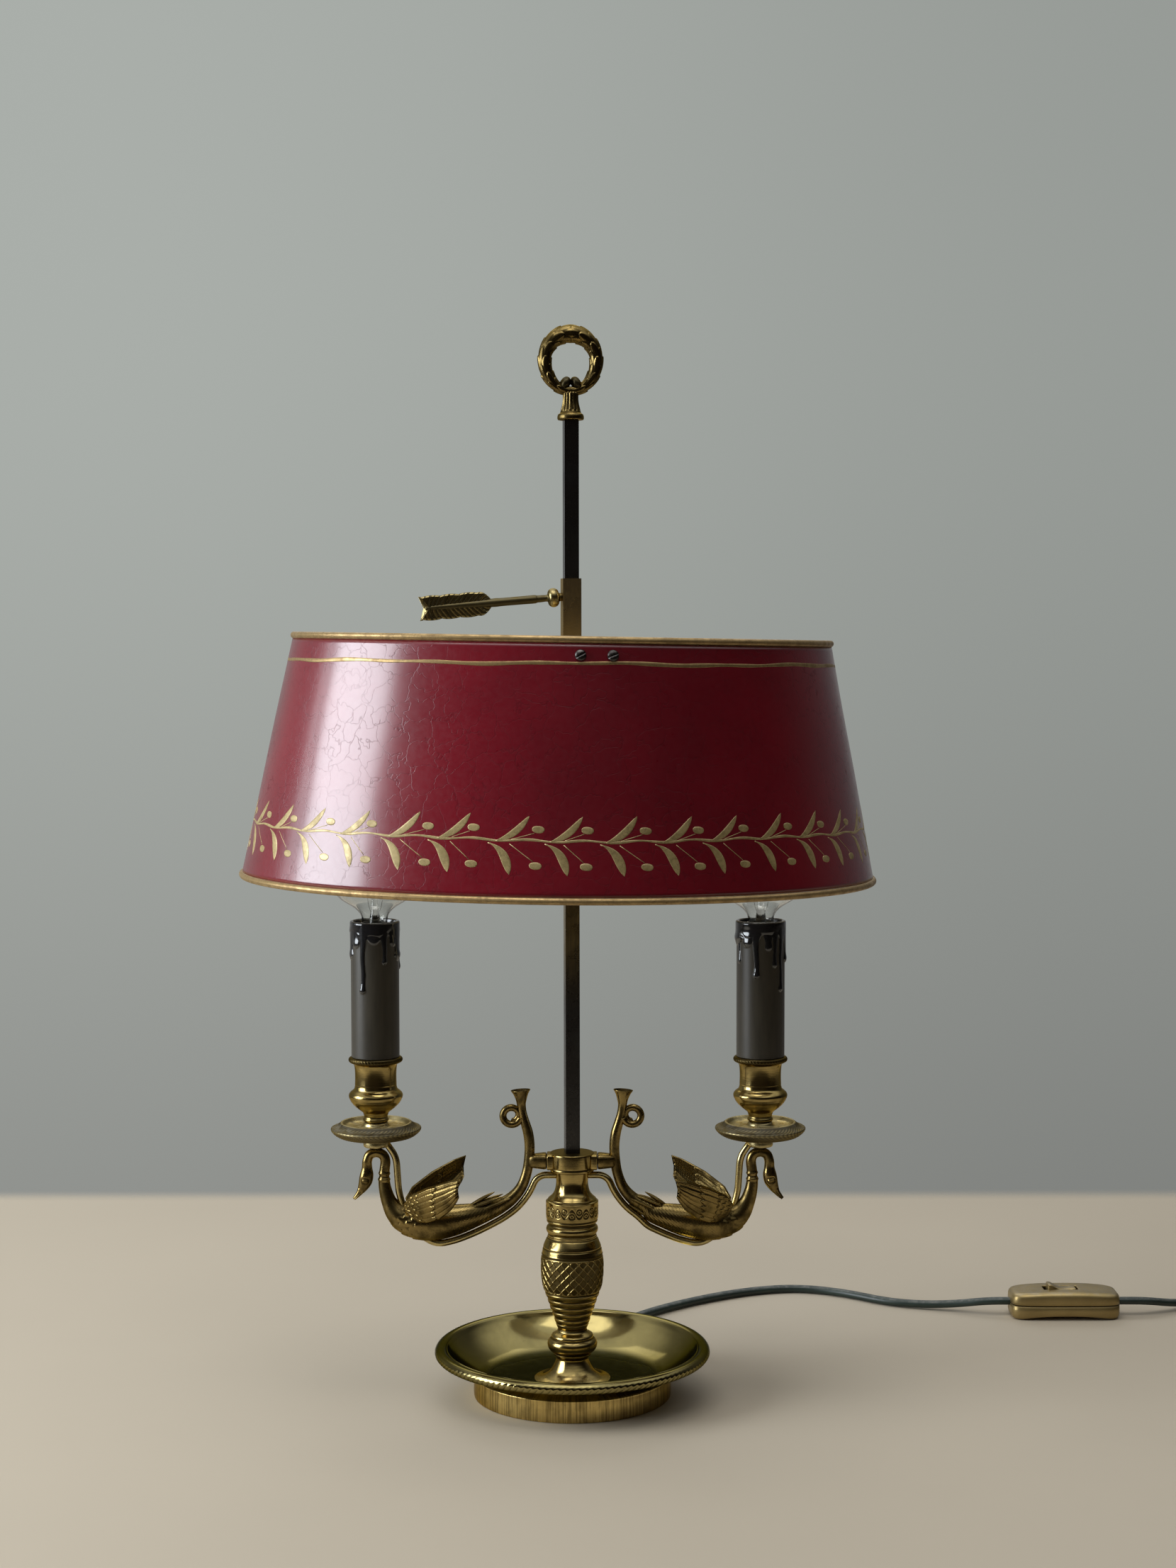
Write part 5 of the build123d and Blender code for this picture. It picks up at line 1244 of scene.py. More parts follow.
def makeArm(name, side):
    # the casting's tube: relief = hatching on the tail and belly, scales on the shoulder, rings on the neck
    setup = armSetup
    reach = setup["reach"][name]
    route = armRoute(reach)
    x, z = side * route[:, 0], lugHeight + route[:, 1]
    path = np.stack((x, 0 * x, z), 1)
    columns = setup["columns"]
    grid = tubeGrid(path, route[:, 3], route[:, 2], (0, 1, 0), columns)
    middle = path[:, None]
    ray = unit(grid - middle)
    step = np.r_[0, np.cumsum(np.linalg.norm(np.diff(path, axis=0), axis=1))]
    angle = circle(columns)
    tail = step[alongArm(route, 33.5, -21.0)]
    shoulder = step[alongArm(route, reach - 15, -29.3)]
    chest = step[alongArm(route, reach - 9.4, -25.4)]
    s = step[:, None]
    onBody = clamp((s - tail) / 3.0) * clamp((chest - s) / 4.0)
    # chevrons: distance along the body minus the turn away from its spine, more where the body is thick
    lean = 3.1 * route[:, 2, None] * np.abs(((angle[None, :] / tau + 0.25 * side) % 1) * 2 - 1)
    hatch = np.abs(np.sin(np.pi * (s - lean) / setup["hatchPitch"])) ** 0.7
    scales = leafScales((s - tail) / setup["scalePitch"], (angle / tau)[None, :], setup["scalesRound"])
    onShoulder = clamp((s - shoulder + 9) / 5.0) * onBody
    relief = onBody * ((1 - onShoulder) * 0.26 * (hatch - 0.75) + onShoulder * 0.85 * (scales - 0.55))
    hollow = onBody * ((1 - onShoulder) * (1 - hatch) * 0.95 + onShoulder * clamp(0.9 - 1.5 * scales))
    neck = step[alongArm(route, reach - 3.9, -7.6)]
    for place, rise in ((neck - 1.5, 0.35), (neck, -0.22), (neck + 1.5, 0.35)):
        relief = relief + rise * gauss(s - place, 0.55)
    hollow = np.maximum(hollow, 0.8 * gauss(s - neck, 0.5))
    # head: eyes, cheeks and the line of the beak
    eye = step[alongArm(route, reach + 5.35, -9.6)]
    beak = step[alongArm(route, reach + 7.4, -14.2)]
    flank = np.abs(np.cos(angle))[None, :]
    front = np.abs(np.sin(angle))[None, :]
    eyeSpot = np.hypot(s - eye, 3.0 * (1 - flank) * 2.2)
    relief = relief + 0.62 * gauss(eyeSpot, 0.75) - 0.30 * gauss(eyeSpot - 1.35, 0.4)
    hollow = np.maximum(hollow, 0.95 * gauss(eyeSpot - 1.3, 0.42))
    mouth = gauss(front - 0.12, 0.16) * clamp((s - beak) / 1.2)
    relief = relief - 0.28 * mouth - 0.18 * gauss(s - beak, 0.4) * flank
    hollow = np.maximum(hollow, 0.8 * mouth)
    # the root of the tail stays dark
    hollow = np.maximum(hollow, 0.7 * gauss(s - tail, 1.6))
    grid = grid + relief[..., None] * ray
    # the trumpet's mouth is hollow
    mouthIn = [path[0] + (grid[0] - path[0]) * share - upright * depth
               for share, depth in ((0.08, 3.2), (0.45, 3.0), (0.72, 1.7), (0.88, 0.4), (0.95, -0.05))]
    grid = capped(np.concatenate((np.stack(mouthIn), grid)))
    hollow = np.concatenate((np.full((len(mouthIn) + 1, columns), 0.9), hollow * np.ones((1, columns)),
                             hollow[-1:] * 0))
    grids, shades = [(grid, False)], [hollow]

    # curl beside the trumpet: a tube wound a little over one turn, thinner towards its inner end
    t = np.linspace(0, 1, setup["curlPoints"])
    turn = np.radians(setup["curlFrom"] + setup["curlTurn"] * t)
    radius = setup["curlRadius"] + 0.7 * (1 - t) ** 3 - 2.0 * (clamp(t - 0.66) / 0.34) ** 1.3
    curlX = setup["curlPlace"][0] + radius * np.cos(turn)
    curlZ = lugHeight + setup["curlPlace"][1] + radius * np.sin(turn)
    curl = np.stack((side * curlX, 0.9 * (t - 0.5), curlZ), 1)
    thick = setup["curlTube"] * np.interp(t, [0, 0.15, 0.6, 0.85, 1.0], [1.1, 1.12, 1.08, 0.85, 0.55])
    tube = capped(tubeGrid(curl, thick, thick, (0, 1, 0), 28))
    grids.append((tube, False))
    shades.append(np.zeros(tube.shape[:2]))

    # leaf tips; the longer the reach, the further out their roots
    longer = reach - setup["reach"]["left"]
    for out, height, toward, rise, places, wide in leafTips:
        for beside in places:
            root = (side * (out + longer), beside, lugHeight + height)
            tip = (side * (toward + longer * 0.6), 1.15 * beside, lugHeight + rise)
            leaf = capped(leafTongue(root, tip, 0.35, wide, 0.8, 0.55 * np.sign(beside)))
            grids.append((leaf, False))
            fade = clamp(0.7 - np.linspace(0, 1, leaf.shape[0]))
            shades.append(np.repeat(fade[:, None], leaf.shape[1], 1))

    # lug that meets the hub: a block with rounded edges that thins towards the arm
    along = np.array([12.65, 12.75, 13.1, 14.0, 16.2, 18.6, 20.4, 21.6])
    size = np.array([3.2, 3.6, 3.9, 3.95, 3.75, 3.5, 3.3, 2.4])
    lugPath = np.stack((side * along, 0 * along, lugHeight + 0 * along), 1)
    lug = capped(tubeGrid(lugPath, size * np.linspace(1.45, 1.0, 8), size, (0, 1, 0), 64, 3.2))
    grids.append((lug, False))
    shades.append(np.repeat(np.array([0.9, 0.8, 0.5, 0, 0, 0, 0, 0, 0, 0])[:, None], 64, 1))
    return buildPiece(f"swanArm_{name}", grids, castBrass, (f"arm_{name}",), shades)


wingSetup = {
    # corners: inward from the candle, beside, height from the lug
    "front": (12.4, 7.2, -17.8),
    "tip": (42.7, 30.0, -3.9),
    "low": (21.0, 7.8, -31.0),
    "thickness": 1.5,
    "feathers": 6,
    "rows": 150,
    "columns": 84,
}


def wingRelief(u, v):
    # height over the wing: scales at the shoulder, then two tiers of long feathers, one lying on the other
    count = wingSetup["feathers"]
    lane = (v * count) % 1
    across = 2 * lane - 1
    index = np.floor(v * count)
    ridge = np.sqrt(clamp(1 - across**2))
    quill = gauss(across, 0.09)
    barbs = 0.5 + 0.5 * np.sin(tau * (u * 26 - 0.9 * np.abs(across)))
    longOnes = 0.55 * ridge - 0.16 * quill + 0.07 * barbs
    edge = 0.60 - 0.03 * index + 0.05 * (1 - across**2)
    middleTier = u < edge
    shortEdge = 0.27 + 0.045 * (1 - across**2) - 0.012 * index
    shoulder = u < shortEdge
    scales = leafScales(u * 9.5, v * 1.0, 5)
    rise = np.where(middleTier, 0.45 * clamp((edge - u) / 0.02) * 1.0, 0.0)
    height = longOnes + rise + np.where(middleTier, 0.25 * clamp(1 - (edge - u) / 0.3), 0.0)
    height = np.where(shoulder, 0.55 + 0.85 * scales, height)
    dark = clamp(0.9 * (1 - ridge) ** 1.5 + 0.5 * quill)
    dark = np.where(shoulder, clamp(0.95 - 1.4 * scales), dark)
    dark = np.maximum(dark, 0.85 * gauss(u - edge - 0.012, 0.012))
    return height, np.maximum(dark, 0.85 * gauss(u - shortEdge - 0.01, 0.012))


def makeWing(name, side, flank, beside):
    # a bowed blade on the swan's flank, its end cut into feather tips; relief on both faces
    setup = wingSetup
    reach = armSetup["reach"][name]
    corners = [np.array([side * (reach - p[0]), beside * p[1], lugHeight + p[2]])
               for p in (setup["front"], setup["tip"], setup["low"])]
    front, tip, lowPoint = corners
    xDir = unit(tip - front)
    normal = unit(np.cross(tip - front, front - lowPoint))
    yDir = np.cross(normal, xDir)
    outside = 1.0 if normal[1] * beside > 0 else -1.0
    u = np.linspace(0, 1, setup["rows"])[:, None]
    v = np.linspace(0, 1, setup["columns"])[None, :]
    lead = np.interp(u, [0, 0.15, 0.5, 0.85, 1], [-2.5, 0.6, 2.0, 1.6, 0.6])
    trail = np.interp(u, [0, 0.12, 0.3, 0.55, 0.8, 0.92, 1], [-9.5, -14.2, -15.4, -15.2, -13.0, -10.6, -8.4])
    lane = (v * setup["feathers"]) % 1
    reachOut = 40.2 - 6.6 * v - 1.5 * (2 * lane - 1) ** 2 * (0.4 + 0.6 * v)
    x = u * reachOut
    y = lead + (trail - lead) * v
    bow = 2.2 * np.sin(np.pi * v) * (0.4 + 0.6 * u) + 1.6 * np.sin(np.pi * u * 0.9) - 1.2 * u**2
    relief, dark = wingRelief(u, v)
    thin = clamp(np.minimum(v, 1 - v) / 0.05) ** 0.5 * clamp((1 - u) / 0.03) ** 0.5
    plane = front + x[..., None] * xDir + y[..., None] * yDir
    half = setup["thickness"] / 2
    outer = plane + (outside * (bow - 1.4 + (half + 0.8 * relief - 0.2) * thin))[..., None] * normal
    inner = plane + (outside * (bow - 1.4 - (half + 0.30 * relief) * thin))[..., None] * normal
    grid = np.concatenate((outer, inner[:, ::-1]), 1)
    shade = np.concatenate((dark, clamp(0.55 * dark + 0.38)[:, ::-1]), 1)
    return buildPiece(f"wing_{name}_{flank}", [(capped(grid), False)], castBrass,
                      (f"wing_{name}_{flank}",), [endsTwice(shade)])


for name, side in (("left", -1), ("right", 1)):
    makeArm(name, side)
    for flank, beside in (("front", -1), ("back", 1)):
        makeWing(name, side, flank, beside)
print("swans ready")

# candle sockets: drip pan, cup, sleeve with painted drips, bulb mount
socketSetup = {
    "panColumns": 176,
    "strokes": 29,
    "cupColumns": 208,
    "lipHeight": 167.9,
    "ropeTurns": 26,
    "sleeveRadius": 12.0,
    "sleeveWall": 1.4,
    "sleeveFoot": 169.35,
    "sleeveTop": 236.8,
    "sleeveColumns": 312,
    "waxFrom": 200.0,     # no run reaches below this
    "waxEdge": 229.6,
}
panProfile = [
    (3.2, 123.9), (5.2, 124.0), (6.2, 124.5), (6.35, 125.6), (6.2, 127.2), (6.5, 128.1), (9.0, 128.2),
    (14.6, 128.6), (18.2, 129.6), (20.6, 131.1), (21.9, 132.4), (22.4, 133.2), (22.3, 133.9), (21.6, 134.2),
    (20.6, 134.3), (19.6, 134.8), (18.4, 135.9), (17.4, 136.7), (16.6, 136.75), (16.0, 136.1), (15.2, 135.1),
    (13.6, 134.5), (10.5, 134.25), (7.5, 134.35), (6.6, 134.9), (6.2, 136.0), (5.6, 136.75), (3.2, 136.8),
]
cupProfile = [
    (3.3, 136.85), (5.6, 136.9), (6.3, 137.4), (6.35, 138.3), (5.8, 139.0), (5.75, 139.9), (6.2, 140.7),
    (6.2, 141.4), (7.4, 142.4), (9.6, 144.0), (11.5, 145.9), (12.8, 147.9), (13.45, 149.7), (13.2, 151.0),
    (12.2, 152.1), (11.0, 152.9), (10.45, 153.9), (10.3, 155.5), (10.15, 159.5), (10.3, 163.5), (10.7, 165.6),
    (11.6, 166.3), (12.5, 166.55), (13.2, 167.1), (13.45, 167.9), (13.2, 168.7), (12.5, 169.2), (11.6, 169.3),
    (9.9, 169.3), (9.4, 168.9), (9.2, 167.6), (9.15, 158.0), (9.1, 151.9), (8.6, 151.35), (3.3, 151.3),
]


def makePan(name, x):
    # rim engraved with short radial strokes between two lines
    grid = turnedGrid(soften(panProfile, 2), socketSetup["panColumns"], (x, 0))
    radius = np.hypot(grid[..., 0] - x, grid[..., 1])
    angle = circle(socketSetup["panColumns"])[None, :]
    upper = grid[..., 2] > 129.2
    rim = clamp(1 - np.abs(radius - 20.3) / 3.0) * upper
    strokes = np.abs(np.sin(socketSetup["strokes"] * angle + 2.4 * (radius - 18)))
    dent = 0.30 * clamp(rim * 2) * (1 - strokes) ** 1.5 + 0.12 * gauss(radius - 18.0, 0.35) * upper
    grid[..., 2] -= dent
    shade = clamp(clamp(rim * 2.6) * (0.62 + 0.38 * (1 - strokes)) + 0.6 * gauss(radius - 17.9, 0.6))
    shade = np.maximum(shade, 0.72 * (radius > 17.0) * ~upper)
    return buildPiece(f"dripPan_{name}", [(grid, False)], panBronze, (f"drip_pan_{name}",), [shade])


def makeCup(name, x):
    # turned cup with a roped lip: the lip's radius follows a slanting wave
    setup = socketSetup
    grid = turnedGrid(soften(cupProfile, 2), setup["cupColumns"], (x, 0))
    angle = circle(setup["cupColumns"])[None, :]
    height = grid[..., 2]
    radius = np.hypot(grid[..., 0] - x, grid[..., 1])
    onLip = gauss(height - setup["lipHeight"], 0.95) * (radius > 11.8)
    rope = np.abs(np.sin(setup["ropeTurns"] * angle + 1.1 * (height - setup["lipHeight"]))) ** 0.8
    lines = sum(gauss(height - place, 0.16) for place in (155.0, 164.6, 144.6, 148.0))
    push = -0.42 * onLip * (1 - rope) - 0.14 * lines * (radius > 7.2)
    grid = pushed(grid, push, circle(setup["cupColumns"]))
    dark = clamp((radius - 11.3) / 0.5) * clamp((height - 166.0) / 0.4)
    shade = clamp(dark * (0.86 + 0.14 * (1 - rope)) + 0.7 * lines + 0.5 * gauss(height - 152.9, 0.5))
    return buildPiece(f"candleCup_{name}", [(grid, False)], turnedBrass, (f"candle_cup_{name}",),
                      [shade])


# runs of wax on each sleeve: angle seen from above (front is 270), lowest point, half width, thickness
waxRuns = {
    "left": [(245, 201.8, 1.15, 1.0), (298, 216.2, 1.0, 0.8), (196, 217.5, 2.6, 0.7), (343, 217.2, 2.7, 1.0),
             (222, 224.0, 1.6, 0.6), (272, 226.5, 1.3, 0.5), (322, 225.0, 1.4, 0.6), (18, 212.0, 1.3, 0.9),
             (48, 221.0, 1.8, 0.7), (84, 206.5, 1.2, 0.9), (112, 219.5, 1.4, 0.7), (140, 211.0, 1.3, 0.9),
             (166, 222.0, 2.0, 0.6)],
    "right": [(256, 209.2, 1.15, 0.9), (321, 202.4, 1.1, 0.9), (349, 216.0, 1.7, 0.9), (192, 225.0, 3.0, 1.1),
              (205, 216.0, 1.0, 0.6), (232, 224.5, 1.5, 0.6), (284, 223.0, 1.2, 0.5), (302, 214.5, 1.0, 0.7),
              (20, 221.0, 2.0, 0.7), (52, 207.5, 1.2, 0.9), (80, 218.0, 1.5, 0.7), (118, 212.5, 1.3, 0.8),
              (150, 220.5, 1.9, 0.7)],
}


def makeSleeve(name, x):
    # tube inside and out; the wax is a band at the top and round-ended runs: its rise over the tube is the
    # circle arc over the distance from each run's middle line, and the greater of band and runs counts
    setup = socketSetup
    outer, wall = setup["sleeveRadius"], setup["sleeveWall"]
    low, high = setup["sleeveFoot"], setup["sleeveTop"]
    columns = setup["sleeveColumns"]
    angle = circle(columns)[None, :]
    plain = np.linspace(low + 0.4, setup["waxFrom"], 16)
    waxed = np.linspace(setup["waxFrom"] + 0.4, high - 0.5, 132)
    height = np.r_[low, plain, waxed, high - 0.15][:, None]
    edge = setup["waxEdge"] + 1.1 * np.sin(3 * angle + x) + 0.7 * np.sin(7 * angle + 1.0)
    lumps = 1 + 0.25 * np.sin(4 * angle + 1) * np.sin(0.9 * height)
    wax = 0.5 * np.sqrt(clamp((height - edge) / 2.2)) * lumps
    for place, bottom, half, thick in waxRuns[name]:
        across = ((np.degrees(angle) - place + 180) % 360 - 180) * np.pi / 180 * outer
        across = across + 0.25 * np.sin(0.35 * height + place)
        end = bottom + half
        apart = np.hypot(across, np.clip(end - height, 0, None))
        spread = 1.3 * np.exp(-np.clip(edge - height, 0, None) / 2.4)
        reach = half * (1 + 0.4 * gauss(height - end - 0.4, 1.6) + spread)
        bead = 0.62 + 0.45 * gauss(height - end - 0.6, 1.9)
        run = thick * np.sqrt(clamp(1 - (apart / reach) ** 2)) * bead
        wax = np.maximum(wax, run)
    mask = clamp(wax / 0.16)
    rise = (0.24 + wax) * clamp((high - height + 0.35) / 1.2) ** 0.5
    radius = outer - 0.36 + rise
    grid = np.stack((x + radius * np.cos(angle), radius * np.sin(angle), height + 0 * angle), -1)
    inside = np.array([(outer - 0.7, high), (outer - wall + 0.15, high - 0.1), (outer - wall, high - 0.6),
                       (outer - wall, low + 0.5), (outer - wall, low)])
    inner = np.stack((x + inside[:, :1] * np.cos(angle), inside[:, :1] * np.sin(angle),
                      inside[:, 1:] + 0 * angle), -1)
    mask = np.concatenate((mask, np.repeat([[1.0], [1.0], [0.6], [0.0], [0.0]], columns, 1)))
    ring = np.concatenate((grid, inner, grid[:1]))
    return buildPiece(f"candleSleeve_{name}", [(ring, False)], candleBlack, (f"candle_sleeve_{name}",),
                      [np.concatenate((mask, mask[:1]))])


def makeMounts():
    # glass pip with support wires and a looped filament in each bulb
    glassParts, wireParts = [], []
    for side, reach in ((-1, armSetup["reach"]["left"]), (1, armSetup["reach"]["right"])):
        x = side * reach
        pip = [(0.0, 229.2), (3.2, 229.4), (3.5, 231.5), (3.1, 235.5), (2.2, 240.0), (1.7, 244.5),
               (1.5, 249.5), (1.9, 251.6), (1.4, 252.9), (0.0, 253.2)]
        glassParts.append((turnedGrid(soften(pip, 2), 28, (x, 0)), False))
        t = np.linspace(0, 1, 90)
        turn = np.radians(200) * (t - 0.5) * 1.55
        loop = np.stack((x + 9.2 * np.sin(turn), 3.4 * np.cos(2 * turn) - 1.0,
                         263.4 + 1.9 * np.cos(6 * np.pi * t) + 1.2 * np.cos(turn)), 1)
        wireParts.append((capped(tubeGrid(loop, 0.16, 0.16, (0, 0.3, 1), 6)), False))
        for place in (0.02, 0.26, 0.5, 0.74, 0.98):
            end = loop[int(place * 89)]
            start = np.array([x + 0.15 * (end[0] - x), 0.15 * end[1], 251.8 if 0.1 < place < 0.9 else 238.0])
            knee = start + (end - start) * np.array([0.75, 0.75, 0.35])
            wire = smoothRows(np.array([start, knee, end]), 16)
            wireParts.append((capped(tubeGrid(wire, 0.13, 0.13, (0, 1, 0.2), 6)), False))
    buildPiece("filamentWires", wireParts, wireSteel, ("filaments",))
    return buildPiece("filamentPips", glassParts, clearGlass)


for name, side in (("left", -1), ("right", 1)):
    x = side * armSetup["reach"][name]
    makePan(name, x)
    makeCup(name, x)
    makeSleeve(name, x)
makeMounts()
print("candle sockets ready")

# shade: shell, gold line, laurel vine, screws
shadeSetup = {
    "lean": 1.05,         # degrees
    "turn": rodTurn,
    "bridgeHeight": 112.65,
    "bridgeTop": 371.95,
    "offCentre": -3.6,
    "halfLong": (154.8, 0.20415),    # at the foot, and how much it falls with each mm of height
    "halfShort": (125.4, 0.16609),
    "wall": 0.6,
    "fullHeight": 115.6,
    "low": 1.6,
    "high": 114.0,
    "columns": 360,
    "rows": 56,
    "seamAt": 62.0,       # degrees
    "lineBelow": 10.9,
    "linePoints": 720,
    "screwBelow": 6.9,
    "screwAlong": 7.35,
    "screwRadius": 2.6,
    "vineHeight": 26.6,
    "vinePeriods": 34,
    "vineStart": 5.8,
    "stemPoints": 816,
    "berrySize": (2.75, 1.75),
}
leanAngle, turnAngle = np.radians(shadeSetup["lean"]), np.radians(shadeSetup["turn"])
shadeUp = np.array([np.cos(turnAngle) * np.sin(leanAngle), np.sin(turnAngle) * np.sin(leanAngle),
                    np.cos(leanAngle)])
levelLong = np.array([np.cos(turnAngle), np.sin(turnAngle), 0.0])
shadeLong = levelLong * np.cos(leanAngle) - np.array([0.0, 0.0, np.sin(leanAngle)])
shadeWide = np.cross(shadeUp, shadeLong)
shadeFoot = (levelLong * shadeSetup["offCentre"] + np.array([0, 0, shadeSetup["bridgeTop"]])
             - shadeUp * shadeSetup["bridgeHeight"])


def halfWidths(height):
    # both fall evenly with height
    return [full - slope * height for full, slope in (shadeSetup["halfLong"], shadeSetup["halfShort"])]


def shadePoint(angle, height, lift=0.0):
    # a point of the oval cone; lift is measured square to the wall
    a, b = halfWidths(height)
    c, s = np.cos(angle), np.sin(angle)
    slope = shadeSetup["halfLong"][1] * c**2 + shadeSetup["halfShort"][1] * s**2
    outX, outY, outZ = c / a, s / b, slope / np.hypot(a * c, b * s)
    size = np.sqrt(outX**2 + outY**2 + outZ**2)
    x, y, z = a * c + lift * outX / size, b * s + lift * outY / size, height + lift * outZ / size
    return shadeFoot + x[..., None] * shadeLong + y[..., None] * shadeWide + z[..., None] * shadeUp


def roundTable():
    # distance round the oval at the vine's height, for even spacing
    angle = np.linspace(0, tau, 7201)
    a, b = halfWidths(shadeSetup["vineHeight"])
    return angle, np.r_[0, np.cumsum(np.hypot(np.diff(a * np.cos(angle)), np.diff(b * np.sin(angle))))]


roundAngles, roundDistance = roundTable()
roundLength = float(roundDistance[-1])


def shellSwell(angle, height):
    # shallow waves of the sheet, and the outer lap of its seam: both die out at the beads
    seam = (np.degrees(angle) - shadeSetup["seamAt"] + 180) % 360 - 180
    lap = 0.28 * clamp((seam + 1.0) / 0.25) * clamp((3.6 - seam) / 2.6)
    waves = 0.16 * np.sin(3 * angle + 0.021 * height) * np.sin(0.055 * height + 2 * angle)
    waves = waves + 0.05 * np.sin(11 * angle + 0.08 * height)
    rise = (height - shadeSetup["low"]) / (shadeSetup["high"] - shadeSetup["low"])
    ends = np.sin(np.pi * clamp(rise)) ** 0.5
    return waves * ends, lap * ends


def onShade(along, height, lift):
    # a place given by its distance round the shade, lifted off the swelling sheet
    turns = np.floor(along / roundLength)
    angle = np.interp(along - turns * roundLength, roundDistance, roundAngles) + turns * tau
    waves, lap = shellSwell(angle, height)
    return shadePoint(angle, height, lift + waves + lap)


def stroke(along, height, half, thick=0.16, columns=8, closed=False):
    # a painted stroke lying on the shell: a flat ring of points follows its middle line
    along, height = np.asarray(along, float), np.asarray(height, float)
    if closed:
        ahead = (np.roll(along, -1) - np.roll(along, 1) + roundLength / 2) % roundLength - roundLength / 2
        climb = np.roll(height, -1) - np.roll(height, 1)
    else:
        ahead, climb = np.gradient(along), np.gradient(height)
    size = np.hypot(ahead, climb)
    acrossS, acrossH = -climb / size, ahead / size
    half = np.broadcast_to(half, along.shape)
    angle = circle(columns)
    c, s = np.cos(angle), np.sin(angle)
    lift = shadeSetup["wall"] / 2 + np.where(s > 0, thick * np.sqrt(np.abs(s)), -0.15)
    places = along[:, None] + (acrossS * half)[:, None] * c
    heights = height[:, None] + (acrossH * half)[:, None] * c
    grid = onShade(places, heights, np.broadcast_to(lift, places.shape))
    return grid if closed else capped(grid)


def makeShell():
    # closed sheet: outer wall up, inner wall down; one lapped seam at the back
    setup = shadeSetup
    columns, rows = setup["columns"], setup["rows"]
    angle = circle(columns)[None, :]
    up = np.linspace(setup["low"], setup["high"], rows)
    height = np.r_[up, up[::-1]][:, None] + 0 * angle
    waves, lap = shellSwell(angle, height)
    side = np.repeat((1.0, -1.0), rows)[:, None]
    lift = side * setup["wall"] / 2 + waves + lap * (side > 0)
    grid = shadePoint(angle + 0 * height, height, lift)
    inside = np.repeat((side < 0).astype(float), columns, 1)
    return buildPiece("shadeShell", [(grid, True)], crimsonTole, ("shade_shell",), [inside],
                      "shade_carriage")


def makeGoldLine():
    # a brushed line under the upper bead, a little uneven in height and width
    setup = shadeSetup
    along = np.arange(setup["linePoints"]) * roundLength / setup["linePoints"]
    turn = along / roundLength * tau
    wander = 0.32 * np.sin(7 * turn) + 0.22 * np.sin(17 * turn + 1) - 0.54 * np.cos(turn - 2.6)
    height = setup["fullHeight"] - setup["lineBelow"] + wander
    half = 0.92 + 0.12 * np.sin(9 * turn + 0.4) + 0.08 * np.sin(31 * turn)
    grid = stroke(along, height, half, 0.07, 8, closed=True)
    shade = np.repeat((0.25 + 0.25 * np.sin(23 * turn))[:, None], 8, 1)
    return buildPiece("goldLine", [(grid, True)], edgeGold, (), [shade], "shade_carriage")


def leafStroke(start, middle, end, wide, fullest):
    # a leaf along a bent line: half width follows a pointed bell, its midrib is the dark line
    u = np.linspace(0, 1, 15)
    along = (1 - u) ** 2 * start[0] + 2 * u * (1 - u) * middle[0] + u**2 * end[0]
    height = (1 - u) ** 2 * start[1] + 2 * u * (1 - u) * middle[1] + u**2 * end[1]
    bell = u**fullest * (1 - u) ** 0.75
    half = np.maximum(wide * bell / bell.max(), 0.26 * (1 - u))
    return stroke(along, height, half, 0.08, 12)


def makeVine():
    # a waving stem; each period has two leaves and two berries on twigs, kept uneven by slow sines
    setup = shadeSetup
    period = roundLength / setup["vinePeriods"]
    along = np.arange(setup["stemPoints"]) * roundLength / setup["stemPoints"]
    turn = along / roundLength * tau

    def stemHeight(place):
        # mean height, one wave for each period and a slow one of five round the shade
        around = place / roundLength * tau
        return setup["vineHeight"] + 0.45 * np.sin(setup["vinePeriods"] * around) + 0.35 * np.sin(5 * around)

    stem = stroke(along, stemHeight(along), 0.56 + 0.12 * np.sin(41 * turn), 0.07, 8, closed=True)
    grids, shades = [(stem, True)], [np.full(stem.shape[:2], 0.35)]
    for index in range(setup["vinePeriods"]):
        tip = setup["vineStart"] + index * period + 0.9 * np.sin(2.4 * index)
        base = tip - 14.6
        foot = stemHeight(base)
        sway = 0.7 * np.sin(1.7 * index + 1)
        upper = leafStroke((base, foot), (base + 8.3, foot + 1.6), (tip, foot + 11.3 + 0.4 * sway),
                           1.72 + 0.1 * sway, 1.0)
        low = tip - 17.8 + 1.1 * np.sin(1.3 * index)
        lower = leafStroke((low, foot - 1.0), (low + 8.6, foot - 3.4), (low + 10.2 + 0.3 * sway, foot - 14.9),
                           2.1 + 0.12 * sway, 1.5)
        for leaf in (upper, lower):
            rib = 0.85 * gauss(np.abs((np.arange(12) + 3) % 12 - 6), 1.1)
            grids.append((leaf, False))
            shades.append(clamp(0.15 * (index % 3) + rib[None, :] * np.ones((len(leaf), 1)) * 0.8))
        berry = tip + 3.1 + 1.3 * np.sin(2.9 * index + 0.5)
        for place, height, thin in ((berry, foot + 5.2, 1), (berry - 0.4 + 0.8 * sway, foot - 10.8, -1)):
            t = np.arange(9) / 8 * np.pi
            spot = stroke(place - setup["berrySize"][0] * np.cos(t), height + 0.25 * np.cos(t),
                          setup["berrySize"][1] * np.maximum(np.sin(t), 0.02) ** 0.8, 0.09, 10)
            grids.append((spot, False))
            shades.append(np.full(spot.shape[:2], 0.25 + 0.3 * ((index + thin) % 2)))
            begin = (tip - 7.8, foot + 0.6) if thin > 0 else (tip - 8.4, foot - 1.3)
            end = (place - 1.6, height - 1.7) if thin > 0 else (place - 1.2, height + 1.9)
            twig = stroke(*np.linspace(begin, end, 6).T, 0.2, 0.06, 6)
            grids.append((twig, False))
            shades.append(np.full(twig.shape[:2], 0.9))
    return buildPiece("laurelVine", grids, vineGold, (), shades, "shade_carriage")


